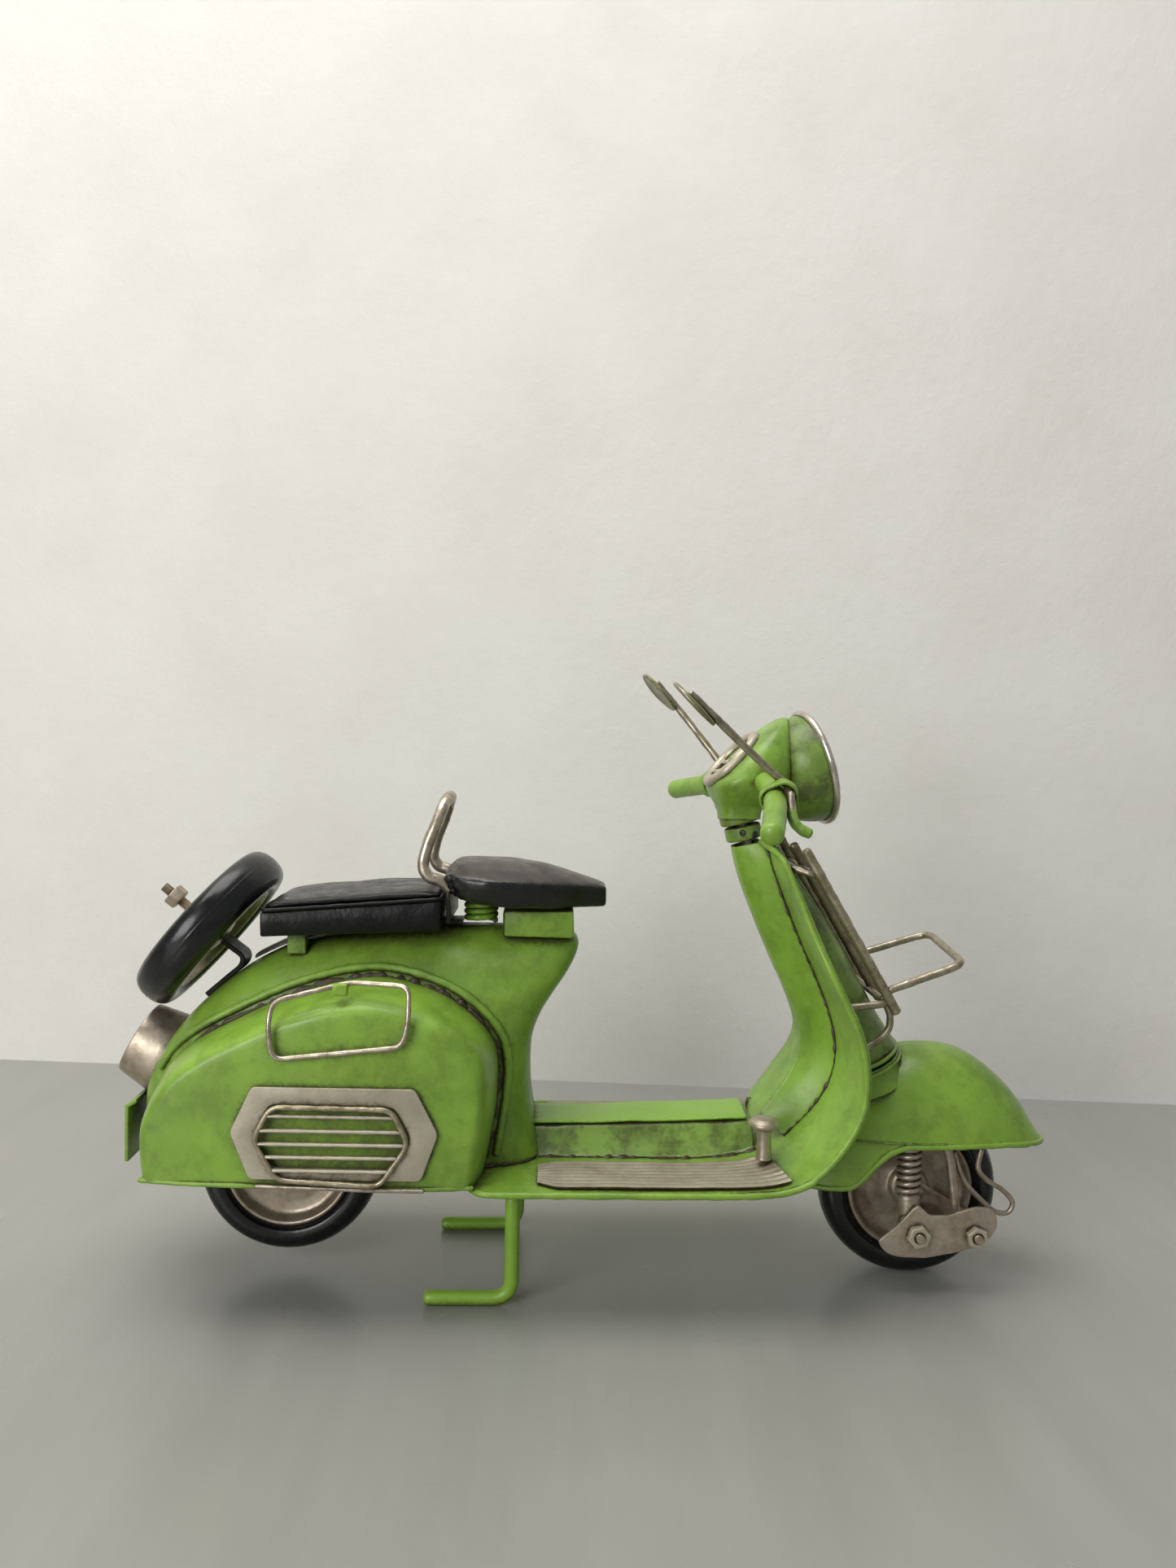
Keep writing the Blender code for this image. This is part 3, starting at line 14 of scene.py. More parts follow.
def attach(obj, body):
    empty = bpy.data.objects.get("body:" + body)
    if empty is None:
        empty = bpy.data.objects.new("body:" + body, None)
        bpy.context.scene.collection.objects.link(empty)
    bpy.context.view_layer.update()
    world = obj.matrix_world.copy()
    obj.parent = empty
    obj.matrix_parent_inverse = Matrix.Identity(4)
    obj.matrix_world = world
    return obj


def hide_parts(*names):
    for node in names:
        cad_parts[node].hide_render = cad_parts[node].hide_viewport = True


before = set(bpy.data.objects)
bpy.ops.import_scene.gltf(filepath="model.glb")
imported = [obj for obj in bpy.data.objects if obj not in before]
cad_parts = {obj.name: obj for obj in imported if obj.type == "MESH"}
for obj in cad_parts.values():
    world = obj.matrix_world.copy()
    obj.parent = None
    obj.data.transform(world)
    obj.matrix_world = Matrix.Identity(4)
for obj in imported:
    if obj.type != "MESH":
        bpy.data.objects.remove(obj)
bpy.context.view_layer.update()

MM = 0.001
RIGHT, LEFT = -1, 1
SCENE = bpy.context.scene


# ---- mesh helpers -------------------------------------------------------------
def as_object(name, mesh, paint):
    made = bpy.data.objects.new(name, mesh)
    SCENE.collection.objects.link(made)
    made.data.materials.clear()
    made.data.materials.append(paint)
    return made


def smooth(made, angle=38.0):
    made.data.shade_smooth()
    made.data.set_sharp_from_angle(angle=math.radians(angle))
    return made


def applied(made, angle=38.0):
    """Make an object's modifiers part of its mesh."""
    bpy.context.view_layer.update()
    seen = made.evaluated_get(bpy.context.evaluated_depsgraph_get())
    mesh = bpy.data.meshes.new_from_object(seen)
    made.modifiers.clear()
    made.data = mesh
    return smooth(made, angle)


def dense(points, per_span, cyclic=False):
    """Catmull-Rom points along the first axis of an array, through the given ones."""
    pts = np.array(points, float)
    count = len(pts)
    spans = count if cyclic else count - 1
    t = np.arange(spans * per_span + (0 if cyclic else 1)) / per_span
    i = np.minimum(t.astype(int), spans - 1)
    u = (t - i).reshape((-1,) + (1,) * (pts.ndim - 1))

    def at(k):
        return pts[k % count] if cyclic else pts[np.clip(k, 0, count - 1)]

    p0, p1, p2, p3 = at(i - 1), at(i), at(i + 1), at(i + 2)
    return 0.5 * (2 * p1 + (p2 - p0) * u + (2 * p0 - 5 * p1 + 4 * p2 - p3) * u ** 2
                  + (3 * p1 - p0 - 3 * p2 + p3) * u ** 3)


def skin(name, rows, paint, ring=False, caps="", flip=False, angle=38.0):
    """A mesh through rows of equally many points; caps names the closed ends."""
    work = bmesh.new()
    grid = [[work.verts.new(Vector(p) * MM) for p in row] for row in rows]
    count = len(rows[0])
    for upper, lower in zip(grid, grid[1:]):
        for i in range(count if ring else count - 1):
            j = (i + 1) % count
            work.faces.new((upper[i], upper[j], lower[j], lower[i]))
    if "first" in caps:
        work.faces.new(list(reversed(grid[0])))
    if "last" in caps:
        work.faces.new(grid[-1])
    bmesh.ops.remove_doubles(work, verts=work.verts, dist=2e-6)
    if ring:
        bmesh.ops.recalc_face_normals(work, faces=work.faces)
    if flip:
        bmesh.ops.reverse_faces(work, faces=work.faces)
    mesh = bpy.data.meshes.new(name)
    work.to_mesh(mesh)
    work.free()
    return smooth(as_object(name, mesh, paint), angle)


def sheet_metal(made, thickness, edge=0.18):
    """Give an open skin its thickness, with softened edges."""
    solid = made.modifiers.new("sheet", "SOLIDIFY")
    solid.thickness = thickness * MM
    solid.offset = -1.0
    solid.use_even_offset = True
    if edge:
        soften(made, edge, 50.0)
    return applied(made)


def soften(made, width, angle=35.0, segments=2):
    bevel = made.modifiers.new("edge", "BEVEL")
    bevel.width = width * MM
    bevel.segments = segments
    bevel.limit_method = "ANGLE"
    bevel.angle_limit = math.radians(angle)
    bevel.use_clamp_overlap = True
    return made


def place(centre, direction):
    turn = Vector(direction).to_track_quat("Z", "Y").to_matrix().to_4x4()
    return Matrix.Translation(Vector(centre) * MM) @ turn


def settle(made, matrix):
    """Put a local mesh where it belongs, in its vertices."""
    made.data.transform(matrix)
    made.data.update()
    return made


def turned(name, profile, centre, direction, paint, steps=96, closed=False, angle=38.0, dent=0.0):
    """A turned solid of (radius, height) pairs about direction."""
    if closed:
        profile = list(profile) + [profile[0]]
    rows = []
    for radius, height in profile:
        rows.append([(radius * math.cos(a), radius * math.sin(a), height)
                     for a in (i * math.tau / steps for i in range(steps))])
    made = skin(name, rows, paint, ring=True, angle=angle)
    settle(made, place(centre, direction))
    return hammered(made, dent) if dent else made


def rounded(profile, radius=0.4, steps=3, cyclic=False):
    """Round the corners of a run of straight lines, in two or three dimensions."""
    found = []
    count = len(profile)
    for i, point in enumerate(profile):
        here = np.array(point, float)
        if not cyclic and i in (0, count - 1):
            found.append(here)
            continue
        back = np.array(profile[i - 1], float) - here
        ahead = np.array(profile[(i + 1) % count], float) - here
        lengths = np.linalg.norm(back), np.linalg.norm(ahead)
        reach = min(radius, 0.45 * lengths[0], 0.45 * lengths[1])
        start, end = here + back / lengths[0] * reach, here + ahead / lengths[1] * reach
        for step in range(steps + 1):
            t = step / steps
            found.append(start * (1 - t) ** 2 + here * 2 * t * (1 - t) + end * t ** 2)
    return found


def tube(name, path, radius, paint, cyclic=False, sides=16, lumps=0.0, flat=1.0, seed=0.0):
    """A wire through points, with rounded ends and the slight lumps of hand work."""
    pts = np.array(path, float)
    if cyclic:
        tangents = np.roll(pts, -1, 0) - np.roll(pts, 1, 0)
    else:
        tangents = np.gradient(pts, axis=0)
    tangents /= np.linalg.norm(tangents, axis=1)[:, None]
    side = np.cross(tangents[0], (0.0, 0.0, 1.0))
    if np.linalg.norm(side) < 0.1:
        side = np.cross(tangents[0], (1.0, 0.0, 0.0))
    sides_at = []
    for tangent in tangents:
        side = side - tangent * side.dot(tangent)
        side /= np.linalg.norm(side)
        sides_at.append(side)
    twist = 0.0
    if cyclic:                          # spread the mismatch of the frames round the loop
        last = sides_at[-1] - tangents[0] * sides_at[-1].dot(tangents[0])
        twist = math.atan2(np.cross(last, sides_at[0]).dot(tangents[0]), last.dot(sides_at[0]))
    rings = []

    def ring(centre, tangent, across, scale, turn=0.0):
        up = np.cross(tangent, across)
        swell = 1.0 + lumps * noise.noise(Vector(centre) * 0.55 + Vector((seed, 0.0, 0.0)))
        return [tuple(centre + scale * radius * swell * (math.cos(a) * across + flat * math.sin(a) * up))
                for a in (turn + k * math.tau / sides for k in range(sides))]

    if not cyclic:
        for t in (0.05, 0.35, 0.7):
            rings.append(ring(pts[0] - tangents[0] * radius * 0.55 * math.cos(t * 1.571), tangents[0], sides_at[0],
                              math.sin(t * 1.571)))
    for i, (centre, tangent, across) in enumerate(zip(pts, tangents, sides_at)):
        rings.append(ring(centre, tangent, across, 1.0, twist * i / len(pts) if cyclic else 0.0))
    if cyclic:
        rings.append(rings[0])
        made = skin(name, rings, paint, ring=True)
    else:
        for t in (0.7, 0.35, 0.05):
            rings.append(ring(pts[-1] + tangents[-1] * radius * 0.55 * math.cos(t * 1.571), tangents[-1],
                              sides_at[-1], math.sin(t * 1.571)))
        made = skin(name, rings, paint, ring=True, caps="first last")
    return made


def bent(path, radius=2.6, steps=6, cyclic=False, spacing=1.2):
    """A wire's path: straight runs with rounded bends, sampled evenly enough to carry lumps."""
    corners = rounded(path, radius, steps, cyclic)
    found = []
    pairs = zip(corners, corners[1:] + corners[:1]) if cyclic else zip(corners, corners[1:])
    for a, b in pairs:
        count = max(1, int(np.linalg.norm(b - a) / spacing))
        found += [a + (b - a) * k / count for k in range(count)]
    return found if cyclic else found + [corners[-1]]


def plate(name, outline, thickness, matrix, paint, holes=(), edge=0.2):
    """A flat plate with softened edges; outline and holes are (x, y) loops."""
    curve = bpy.data.curves.new(name, "CURVE")
    curve.dimensions = "2D"
    curve.fill_mode = "BOTH"
    curve.extrude = (thickness / 2.0 - edge) * MM
    curve.bevel_depth = edge * MM
    curve.offset = -edge * MM
    curve.bevel_resolution = 2
    curve.resolution_u = 1
    for loop in (outline, *holes):
        spline = curve.splines.new("POLY")
        spline.points.add(len(loop) - 1)
        for slot, point in zip(spline.points, loop):
            slot.co = (point[0] * MM, point[1] * MM, 0.0, 1.0)
        spline.use_cyclic_u = True
    source = bpy.data.objects.new(name, curve)
    SCENE.collection.objects.link(source)
    bpy.context.view_layer.update()
    mesh = bpy.data.meshes.new_from_object(source.evaluated_get(bpy.context.evaluated_depsgraph_get()))
    bpy.data.objects.remove(source)
    bpy.data.curves.remove(curve)
    work = bmesh.new()
    work.from_mesh(mesh)
    bmesh.ops.remove_doubles(work, verts=work.verts, dist=1e-7)
    work.to_mesh(mesh)
    work.free()
    mesh.name = name
    made = as_object(name, mesh, paint)
    return smooth(settle(made, matrix))


def upright(y, x=0.0, z=0.0):
    """Local x, y become world x, z, in the upright plane at y."""
    return Matrix.Translation(Vector((x, y, z)) * MM) @ Matrix.Rotation(math.pi / 2.0, 4, "X")


def block(name, low, high, paint, edge=0.4, cuts=0):
    work = bmesh.new()
    bmesh.ops.create_cube(work, size=1.0)
    bmesh.ops.scale(work, vec=Vector([b - a for a, b in zip(low, high)]) * MM, verts=work.verts)
    bmesh.ops.translate(work, vec=Vector([(a + b) / 2.0 for a, b in zip(low, high)]) * MM, verts=work.verts)
    if cuts:
        bmesh.ops.subdivide_edges(work, edges=work.edges, cuts=cuts, use_grid_fill=True)
    mesh = bpy.data.meshes.new(name)
    work.to_mesh(mesh)
    work.free()
    return applied(soften(as_object(name, mesh, paint), edge, 35.0, 3))


def polished(node, paint, edge=0.2):
    """A finer stand-in with the CAD node's own shape: clean faces and soft edges."""
    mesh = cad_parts[node].data.copy()
    work = bmesh.new()
    work.from_mesh(mesh)
    bmesh.ops.remove_doubles(work, verts=work.verts, dist=1e-6)
    bmesh.ops.dissolve_limit(work, angle_limit=math.radians(1.5), verts=work.verts, edges=work.edges)
    work.to_mesh(mesh)
    work.free()
    return applied(soften(as_object(node + "_skin", mesh, paint), edge, 40.0))


def hammered(made, depth, size=9.0):
    """Uneven the surface a little, as thin sheet beaten by hand is."""
    mesh = made.data
    mesh.update()
    normals = [v.normal.copy() for v in mesh.vertices]
    for vertex, normal in zip(mesh.vertices, normals):
        vertex.co += normal * (depth * MM * noise.noise(vertex.co / (size * MM)))
    mesh.update()
    return made


def fused(made, *others):
    """Join meshes into one object."""
    work = bmesh.new()
    work.from_mesh(made.data)
    for other in others:
        work.from_mesh(other.data)
    work.to_mesh(made.data)
    work.free()
    for other in others:
        bpy.data.objects.remove(other)
    return smooth(made)


def keep(made, body, slot, *nodes):
    """Attach a piece to the body it rides on and hide the CAD nodes that it stands for; slot, the name of its finish,
    is not used.
    """
    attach(made, body)
    if nodes:
        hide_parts(*nodes)
    return made


def table_value(table, key):
    """Straight-line look-up in a table whose rows start with the key."""
    rows = sorted(table)
    if key <= rows[0][0]:
        return rows[0][1:]
    for low, high in zip(rows, rows[1:]):
        if key <= high[0]:
            t = (key - low[0]) / (high[0] - low[0])
            return tuple(a + (b - a) * t for a, b in zip(low[1:], high[1:]))
    return rows[-1][1:]


def coil(x, y, foot, radius, turns, steps, pitch):
    """Points of an upright coil spring."""
    return [(x + radius * math.cos(i * math.tau / steps), y + radius * math.sin(i * math.tau / steps),
             foot + pitch * i / steps) for i in range(turns * steps + 1)]


def oval(angle, power):
    """The point of a rounded square of half size 1; power 2 is a circle."""
    c, s = math.cos(angle), math.sin(angle)
    return math.copysign(abs(c) ** (2.0 / power), c), math.copysign(abs(s) ** (2.0 / power), s)


def hexagon(x, y, across):
    radius = across / math.sqrt(3.0)
    return [(x + radius * math.cos(i * math.pi / 3.0), y + radius * math.sin(i * math.pi / 3.0)) for i in range(6)]


def circle(x, y, radius, steps=32):
    return [(x + radius * math.cos(i * math.tau / steps), y + radius * math.sin(i * math.tau / steps))
            for i in range(steps)]


# ---- material helpers ---------------------------------------------------------
class Finish:
    """A node material under construction; positions are in millimetres of the piece."""
    colour_ends, colour_out = (6, 7), 2         # the colour sockets of a mix node

    def __init__(self, name, **sockets):
        self.material = bpy.data.materials.new(name)
        self.material.use_nodes = True
        self.tree = self.material.node_tree
        self.shader = self.tree.nodes["Principled BSDF"]
        for socket, value in sockets.items():
            self.shader.inputs[socket.replace("_", " ")].default_value = value
        self.coords = self.node("ShaderNodeTexCoord").outputs["Object"]
        self.bump_out = None

    def node(self, kind, **settings):
        made = self.tree.nodes.new(kind)
        for key, value in settings.items():
            setattr(made, key, value)
        return made

    def feed(self, socket, value):
        if isinstance(value, bpy.types.NodeSocket):
            self.tree.links.new(value, socket)
        else:
            socket.default_value = value

    def noise(self, size, detail=4.0, rough=0.55, stretch=(1.0, 1.0, 1.0), offset=0.0):
        """Noise with features about size millimetres across."""
        made = self.node("ShaderNodeTexNoise")
        made.inputs["Scale"].default_value = 1.0
        made.inputs["Detail"].default_value = detail
        made.inputs["Roughness"].default_value = rough
        mapping = self.node("ShaderNodeMapping")
        mapping.inputs["Scale"].default_value = [1000.0 / (size * s) for s in stretch]
        mapping.inputs["Location"].default_value = (offset, offset * 0.7, -offset)
        self.tree.links.new(self.coords, mapping.inputs["Vector"])
        self.tree.links.new(mapping.outputs["Vector"], made.inputs["Vector"])
        return made.outputs["Fac"]

    def cells(self, size):
        """Distance to the nearest of points scattered about size millimetres apart."""
        made = self.node("ShaderNodeTexVoronoi")
        made.inputs["Scale"].default_value = 1000.0 / size
        self.tree.links.new(self.coords, made.inputs["Vector"])
        return made.outputs["Distance"]

    def steps(self, value, *stops):
        """A colour ramp: (position, grey or colour) stops."""
        made = self.node("ShaderNodeValToRGB")
        ramp = made.color_ramp
        while len(ramp.elements) < len(stops):
            ramp.elements.new(0.5)
        for element, (position, colour) in zip(ramp.elements, stops):
            element.position = position
            element.color = (colour,) * 3 + (1.0,) if isinstance(colour, float) else (*colour, 1.0)
        self.feed(made.inputs["Fac"], value)
        return made.outputs["Color"]

    def maths(self, operation, a, b=0.0, clamp=True):
        made = self.node("ShaderNodeMath", operation=operation, use_clamp=clamp)
        self.feed(made.inputs[0], a)
        self.feed(made.inputs[1], b)
        return made.outputs[0]

    def mixed(self, share, a, b):
        made = self.node("ShaderNodeMix", data_type="RGBA")
        self.feed(made.inputs["Factor"], share)
        for socket, value in zip(self.colour_ends, (a, b)):
            self.feed(made.inputs[socket], (*value, 1.0) if isinstance(value, tuple) else value)
        return made.outputs[self.colour_out]

    def hollows(self, reach, low=0.35, high=0.95):
        """1 in the corners and seams within reach millimetres, 0 in the open."""
        made = self.node("ShaderNodeAmbientOcclusion", samples=6)
        made.inputs["Distance"].default_value = reach * MM
        return self.steps(made.outputs["AO"], (low, 1.0), (high, 0.0))

    def crust_and_shade(self, reach, size, low, high, offset=0.0, spread=1.3):
        """A corner mask with a ragged, speckled border, used for dirt and for painted shade."""
        made = self.node("ShaderNodeAmbientOcclusion", samples=6)
        made.inputs["Distance"].default_value = reach * MM
        closed = self.maths("SUBTRACT", 1.0, made.outputs["AO"])
        ragged = self.maths("SUBTRACT", self.noise(size, 8.0, 0.75, offset=offset), 0.5, clamp=False)
        ragged = self.maths("MULTIPLY", ragged, spread, clamp=False)
        return self.steps(self.maths("ADD", closed, ragged), (low, 0.0), (high, 1.0))

    def edges(self, radius, low=0.90, high=0.99):
        """1 on sharp edges, 0 on the flats."""
        bevel = self.node("ShaderNodeBevel", samples=4)
        bevel.inputs["Radius"].default_value = radius * MM
        geometry = self.node("ShaderNodeNewGeometry")
        dot = self.node("ShaderNodeVectorMath", operation="DOT_PRODUCT")
        self.tree.links.new(bevel.outputs["Normal"], dot.inputs[0])
        self.tree.links.new(geometry.outputs["Normal"], dot.inputs[1])
        return self.steps(dot.outputs["Value"], (low, 1.0), (high, 0.0))

    def bump(self, height, depth, strength=1.0):
        made = self.node("ShaderNodeBump")
        made.inputs["Strength"].default_value = strength
        made.inputs["Distance"].default_value = depth * MM
        self.feed(made.inputs["Height"], height)
        if self.bump_out is not None:
            self.tree.links.new(self.bump_out, made.inputs["Normal"])
        self.bump_out = made.outputs["Normal"]

    def done(self, colour, roughness=None, metallic=None):
        self.feed(self.shader.inputs["Base Color"], (*colour, 1.0) if isinstance(colour, tuple) else colour)
        if roughness is not None:
            self.feed(self.shader.inputs["Roughness"], roughness)
        if metallic is not None:
            self.feed(self.shader.inputs["Metallic"], metallic)
        if self.bump_out is not None:
            self.tree.links.new(self.bump_out, self.shader.inputs["Normal"])
        return self.material


def enamel(name, fresh=(0.240, 0.425, 0.046), shade=(0.160, 0.300, 0.032), dirt=0.5, worn=0.6):
    """Satin apple-green enamel: painted shade round the hollows and seams, brown grime in the seams, chips on the
    edges.
    """
    f = Finish(name, IOR=1.5)
    patches = f.steps(f.noise(26.0, 3.0), (0.36, 0.0), (0.66, 1.0))
    colour = f.mixed(patches, fresh, shade)
    tint = f.steps(f.noise(5.0, 5.0, offset=3.0), (0.45, 0.0), (0.75, 0.35))
    colour = f.mixed(tint, colour, (0.30, 0.47, 0.075))
    film = f.steps(f.noise(9.0, 8.0, 0.75, offset=9.0), (0.47, 0.0), (0.60, 1.0))
    film = f.maths("MULTIPLY", film, dirt ** 2 * 0.9)
    colour = f.mixed(film, colour, (0.052, 0.050, 0.014))
    # painted shade: a broad dark olive where hollows and seams are shaded; the dirt setting also makes it stronger
    painted_shade_halo = f.crust_and_shade(9.0, 7.0, 0.22, 0.62, 12.0, 1.5)
    colour = f.mixed(f.maths("MULTIPLY", painted_shade_halo, 0.30 + 0.55 * dirt), colour, (0.085, 0.088, 0.018))
    grime = f.crust_and_shade(4.0, 1.6, 0.30, 0.48, 5.0, 1.5)
    grime = f.maths("MULTIPLY", grime, 0.55 + 0.4 * dirt)
    colour = f.mixed(grime, colour, (0.034, 0.024, 0.009))
    speck = f.maths("MULTIPLY", f.steps(f.cells(2.4), (0.0, 1.0), (0.13, 0.0)),
                    f.steps(f.noise(12.0, 2.0, offset=1.0), (0.50, 0.0), (0.60, 1.0)))
    chips = f.maths("MULTIPLY", f.edges(0.45), f.steps(f.noise(1.7, 5.0, 0.65, offset=7.0),
                                                       (0.50, 0.0), (0.57, 1.0)))
    chips = f.maths("MAXIMUM", f.maths("MULTIPLY", chips, worn + 0.4), f.maths("MULTIPLY", speck, 0.7 * dirt))
    colour = f.mixed(chips, colour, (0.030, 0.020, 0.010))
    gloss = f.steps(f.noise(7.0, 4.0, offset=2.0), (0.3, 0.27), (0.7, 0.42))
    gloss = f.maths("ADD", gloss, f.maths("MULTIPLY", grime, 0.3))
    f.bump(f.noise(14.0, 2.0, offset=4.0), 0.22)
    f.bump(f.noise(0.8, 3.0), 0.022)
    f.bump(f.maths("SUBTRACT", 1.0, chips), 0.06)
    return f.done(colour, gloss)


def painted_silver(name, fresh=(0.50, 0.43, 0.34), stain=(0.21, 0.125, 0.06), amount=0.75, metal=0.7):
    """Warm silver paint, patchy with bronze stains and dirt in the corners."""
    f = Finish(name)
    stains = f.maths("MULTIPLY", f.steps(f.noise(6.0, 7.0, 0.72, offset=2.0), (0.42, 0.0), (0.72, 1.0)), amount)
    colour = f.mixed(stains, fresh, stain)
    cloud = f.steps(f.noise(15.0, 3.0, offset=8.0), (0.35, 0.0), (0.7, 0.5))
    colour = f.mixed(cloud, colour, (0.40, 0.37, 0.30))
    grime = f.crust_and_shade(2.6, 1.8, 0.28, 0.55, 6.0, 1.3)
    colour = f.mixed(grime, colour, (0.050, 0.030, 0.015))
    gloss = f.steps(f.noise(3.0, 5.0, offset=1.0), (0.3, 0.28), (0.7, 0.50))
    shine = f.maths("MULTIPLY", f.maths("SUBTRACT", 1.0, grime), metal)
    f.bump(f.noise(1.1, 4.0, offset=3.0), 0.05)
    f.bump(f.noise(6.0, 3.0), 0.10)
    return f.done(colour, gloss, shine)


def tarnished(name, bright=(0.60, 0.53, 0.42), stain=(0.12, 0.075, 0.035), amount=0.8, green=0.0, gloss=0.20):
    """Bright wire gone brown in patches, with a little overspray."""
    f = Finish(name)
    stains = f.maths("MULTIPLY", f.steps(f.noise(4.0, 6.0, 0.7, offset=4.0), (0.40, 0.0), (0.68, 1.0)), amount)
    colour = f.mixed(stains, bright, stain)
    grime = f.hollows(1.6, 0.25, 0.8)
    colour = f.mixed(grime, colour, (0.05, 0.035, 0.016))
    cover = f.maths("MULTIPLY", stains, 0.6)
    if green:
        spray = f.maths("MULTIPLY", f.steps(f.noise(7.0, 4.0, offset=11.0), (0.40, 0.0), (0.62, 1.0)), green)
        colour = f.mixed(spray, colour, (0.135, 0.15, 0.035))
        cover = f.maths("MAXIMUM", cover, spray)
    shine = f.maths("SUBTRACT", 0.95, cover)
    rough = f.steps(f.noise(2.2, 5.0, offset=2.0), (0.3, gloss), (0.7, gloss + 0.25))
    f.bump(f.noise(1.2, 4.0), 0.05)
    return f.done(colour, rough, shine)


def rubber(name):
    f = Finish(name, IOR=1.5)
    dust = f.steps(f.noise(8.0, 6.0, 0.7), (0.5, 0.0), (0.85, 0.5))
    colour = f.mixed(dust, (0.0035, 0.0038, 0.0040), (0.014, 0.013, 0.011))
    colour = f.mixed(f.hollows(2.0, 0.2, 0.6), colour, (0.05, 0.042, 0.03))
    gloss = f.steps(f.noise(5.0, 4.0, offset=2.0), (0.3, 0.17), (0.7, 0.32))
    f.bump(f.noise(0.7, 3.0), 0.02)
    f.bump(f.noise(7.0, 2.0, offset=5.0), 0.12)
    return f.done(colour, gloss)


def seat_skin(name, worn=1.0, base=(0.0065, 0.0065, 0.0065), rub_and_sheen=(0.088, 0.074, 0.056), level=0.5):
    """Black cast cushion, lighter brown-grey on what faces up, partly rubbed wear and partly painted sheen of the light
    from above, with a soft grain.
    """
    f = Finish(name, IOR=1.5, Specular_IOR_Level=level)
    up = f.node("ShaderNodeSeparateXYZ")
    f.tree.links.new(f.node("ShaderNodeTexCoord").outputs["Normal"], up.inputs[0])
    # painted sheen with wear: what faces up is lightened towards brown-grey
    facing = f.steps(up.outputs["Z"], (0.55, 0.0), (0.97, 1.0))
    patches = f.steps(f.noise(7.0, 6.0, 0.62, offset=2.0), (0.30, 0.15), (0.68, 1.0))
    share = f.maths("MULTIPLY", f.maths("MULTIPLY", facing, patches), 0.72 * worn)
    colour = f.mixed(share, base, rub_and_sheen)
    rims = f.maths("MULTIPLY", f.edges(0.5, 0.88, 0.99), f.steps(f.noise(2.0, 4.0), (0.5, 0.0), (0.6, 0.5)))
    colour = f.mixed(rims, colour, (0.07, 0.045, 0.03))
    gloss = f.steps(f.noise(4.0, 5.0, offset=6.0), (0.3, 0.24), (0.7, 0.44))
    f.bump(f.noise(5.0, 3.0, offset=1.0), 0.16)
    f.bump(f.cells(0.9), 0.035, 0.8)
    return f.done(colour, gloss)


def dark_paint(name, colour=(0.020, 0.020, 0.014)):
    f = Finish(name)
    tint = f.steps(f.noise(5.0, 5.0, 0.7), (0.4, 0.0), (0.75, 0.7))
    shade = f.mixed(tint, colour, (0.06, 0.055, 0.03))
    f.bump(f.noise(1.5, 4.0), 0.05)
    return f.done(shade, f.steps(f.noise(3.0, 4.0, offset=2.0), (0.3, 0.35), (0.7, 0.6)))


def lamp_glass(name):
    f = Finish(name, Roughness=0.08, IOR=1.48, Transmission_Weight=0.85)
    haze = f.steps(f.noise(6.0, 4.0), (0.4, 0.0), (0.8, 0.4))
    return f.done(f.mixed(haze, (0.86, 0.88, 0.84), (0.62, 0.60, 0.50)))


GREEN = enamel("apple_enamel")
GREEN_DIRTY = enamel("grimy_enamel", (0.200, 0.340, 0.055), (0.100, 0.160, 0.030), 0.85, 0.9)
GREEN_NECK = enamel("neck_enamel", dirt=0.62, worn=0.8)
# clean, brighter enamel; on the saddle spring the extra brightness is painted light, lifting it out of the shade under
# the saddle
GREEN_CLEAN_AND_LIT = enamel("clean_enamel_with_painted_light", (0.25, 0.46, 0.045), (0.20, 0.38, 0.035), 0.0, 0.35)
SILVER = painted_silver("silver_paint")
SILVER_BROWN = painted_silver("stained_silver", (0.50, 0.42, 0.33), (0.17, 0.09, 0.04), 0.85, 0.8)
SILVER_PALE = painted_silver("pale_silver", (0.52, 0.475, 0.36), (0.28, 0.21, 0.13), 0.50, 0.45)
MAT = painted_silver("worn_mat", (0.29, 0.255, 0.180), (0.13, 0.095, 0.050), 0.70, 0.30)
WIRE = tarnished("bright_wire")
RACK_WIRE = tarnished("patinated_wire", (0.56, 0.49, 0.36), (0.12, 0.08, 0.035), 0.85, 0.45, 0.22)
MIRROR_WIRE = tarnished("bronzed_wire", (0.50, 0.44, 0.34), (0.12, 0.085, 0.045), 0.85, 0.25, 0.24)
MIRROR_DISC = tarnished("overpainted_disc", (0.44, 0.40, 0.31), (0.11, 0.09, 0.045), 0.9, 0.9, 0.28)
# the rack's patinated wire made darker: painted shade for the rails behind the near one
RAIL_PAINTED_SHADE = tarnished("patinated_wire_painted_shade", (0.40, 0.33, 0.23), (0.09, 0.060, 0.030), 0.9, 0.3, 0.24)
DIRT = dark_paint("seam_dirt", (0.042, 0.029, 0.012))
BRIGHT = tarnished("bright_rim", (0.72, 0.67, 0.58), (0.22, 0.16, 0.09), 0.6, 0.0, 0.14)
RUBBER = rubber("black_rubber")
SEAT = seat_skin("worn_black_seat")
PAD = seat_skin("black_pad", 0.16, (0.0042, 0.0042, 0.0042), level=0.28)
BLACK = dark_paint("black_paint")
GLASS = lamp_glass("clear_glass")


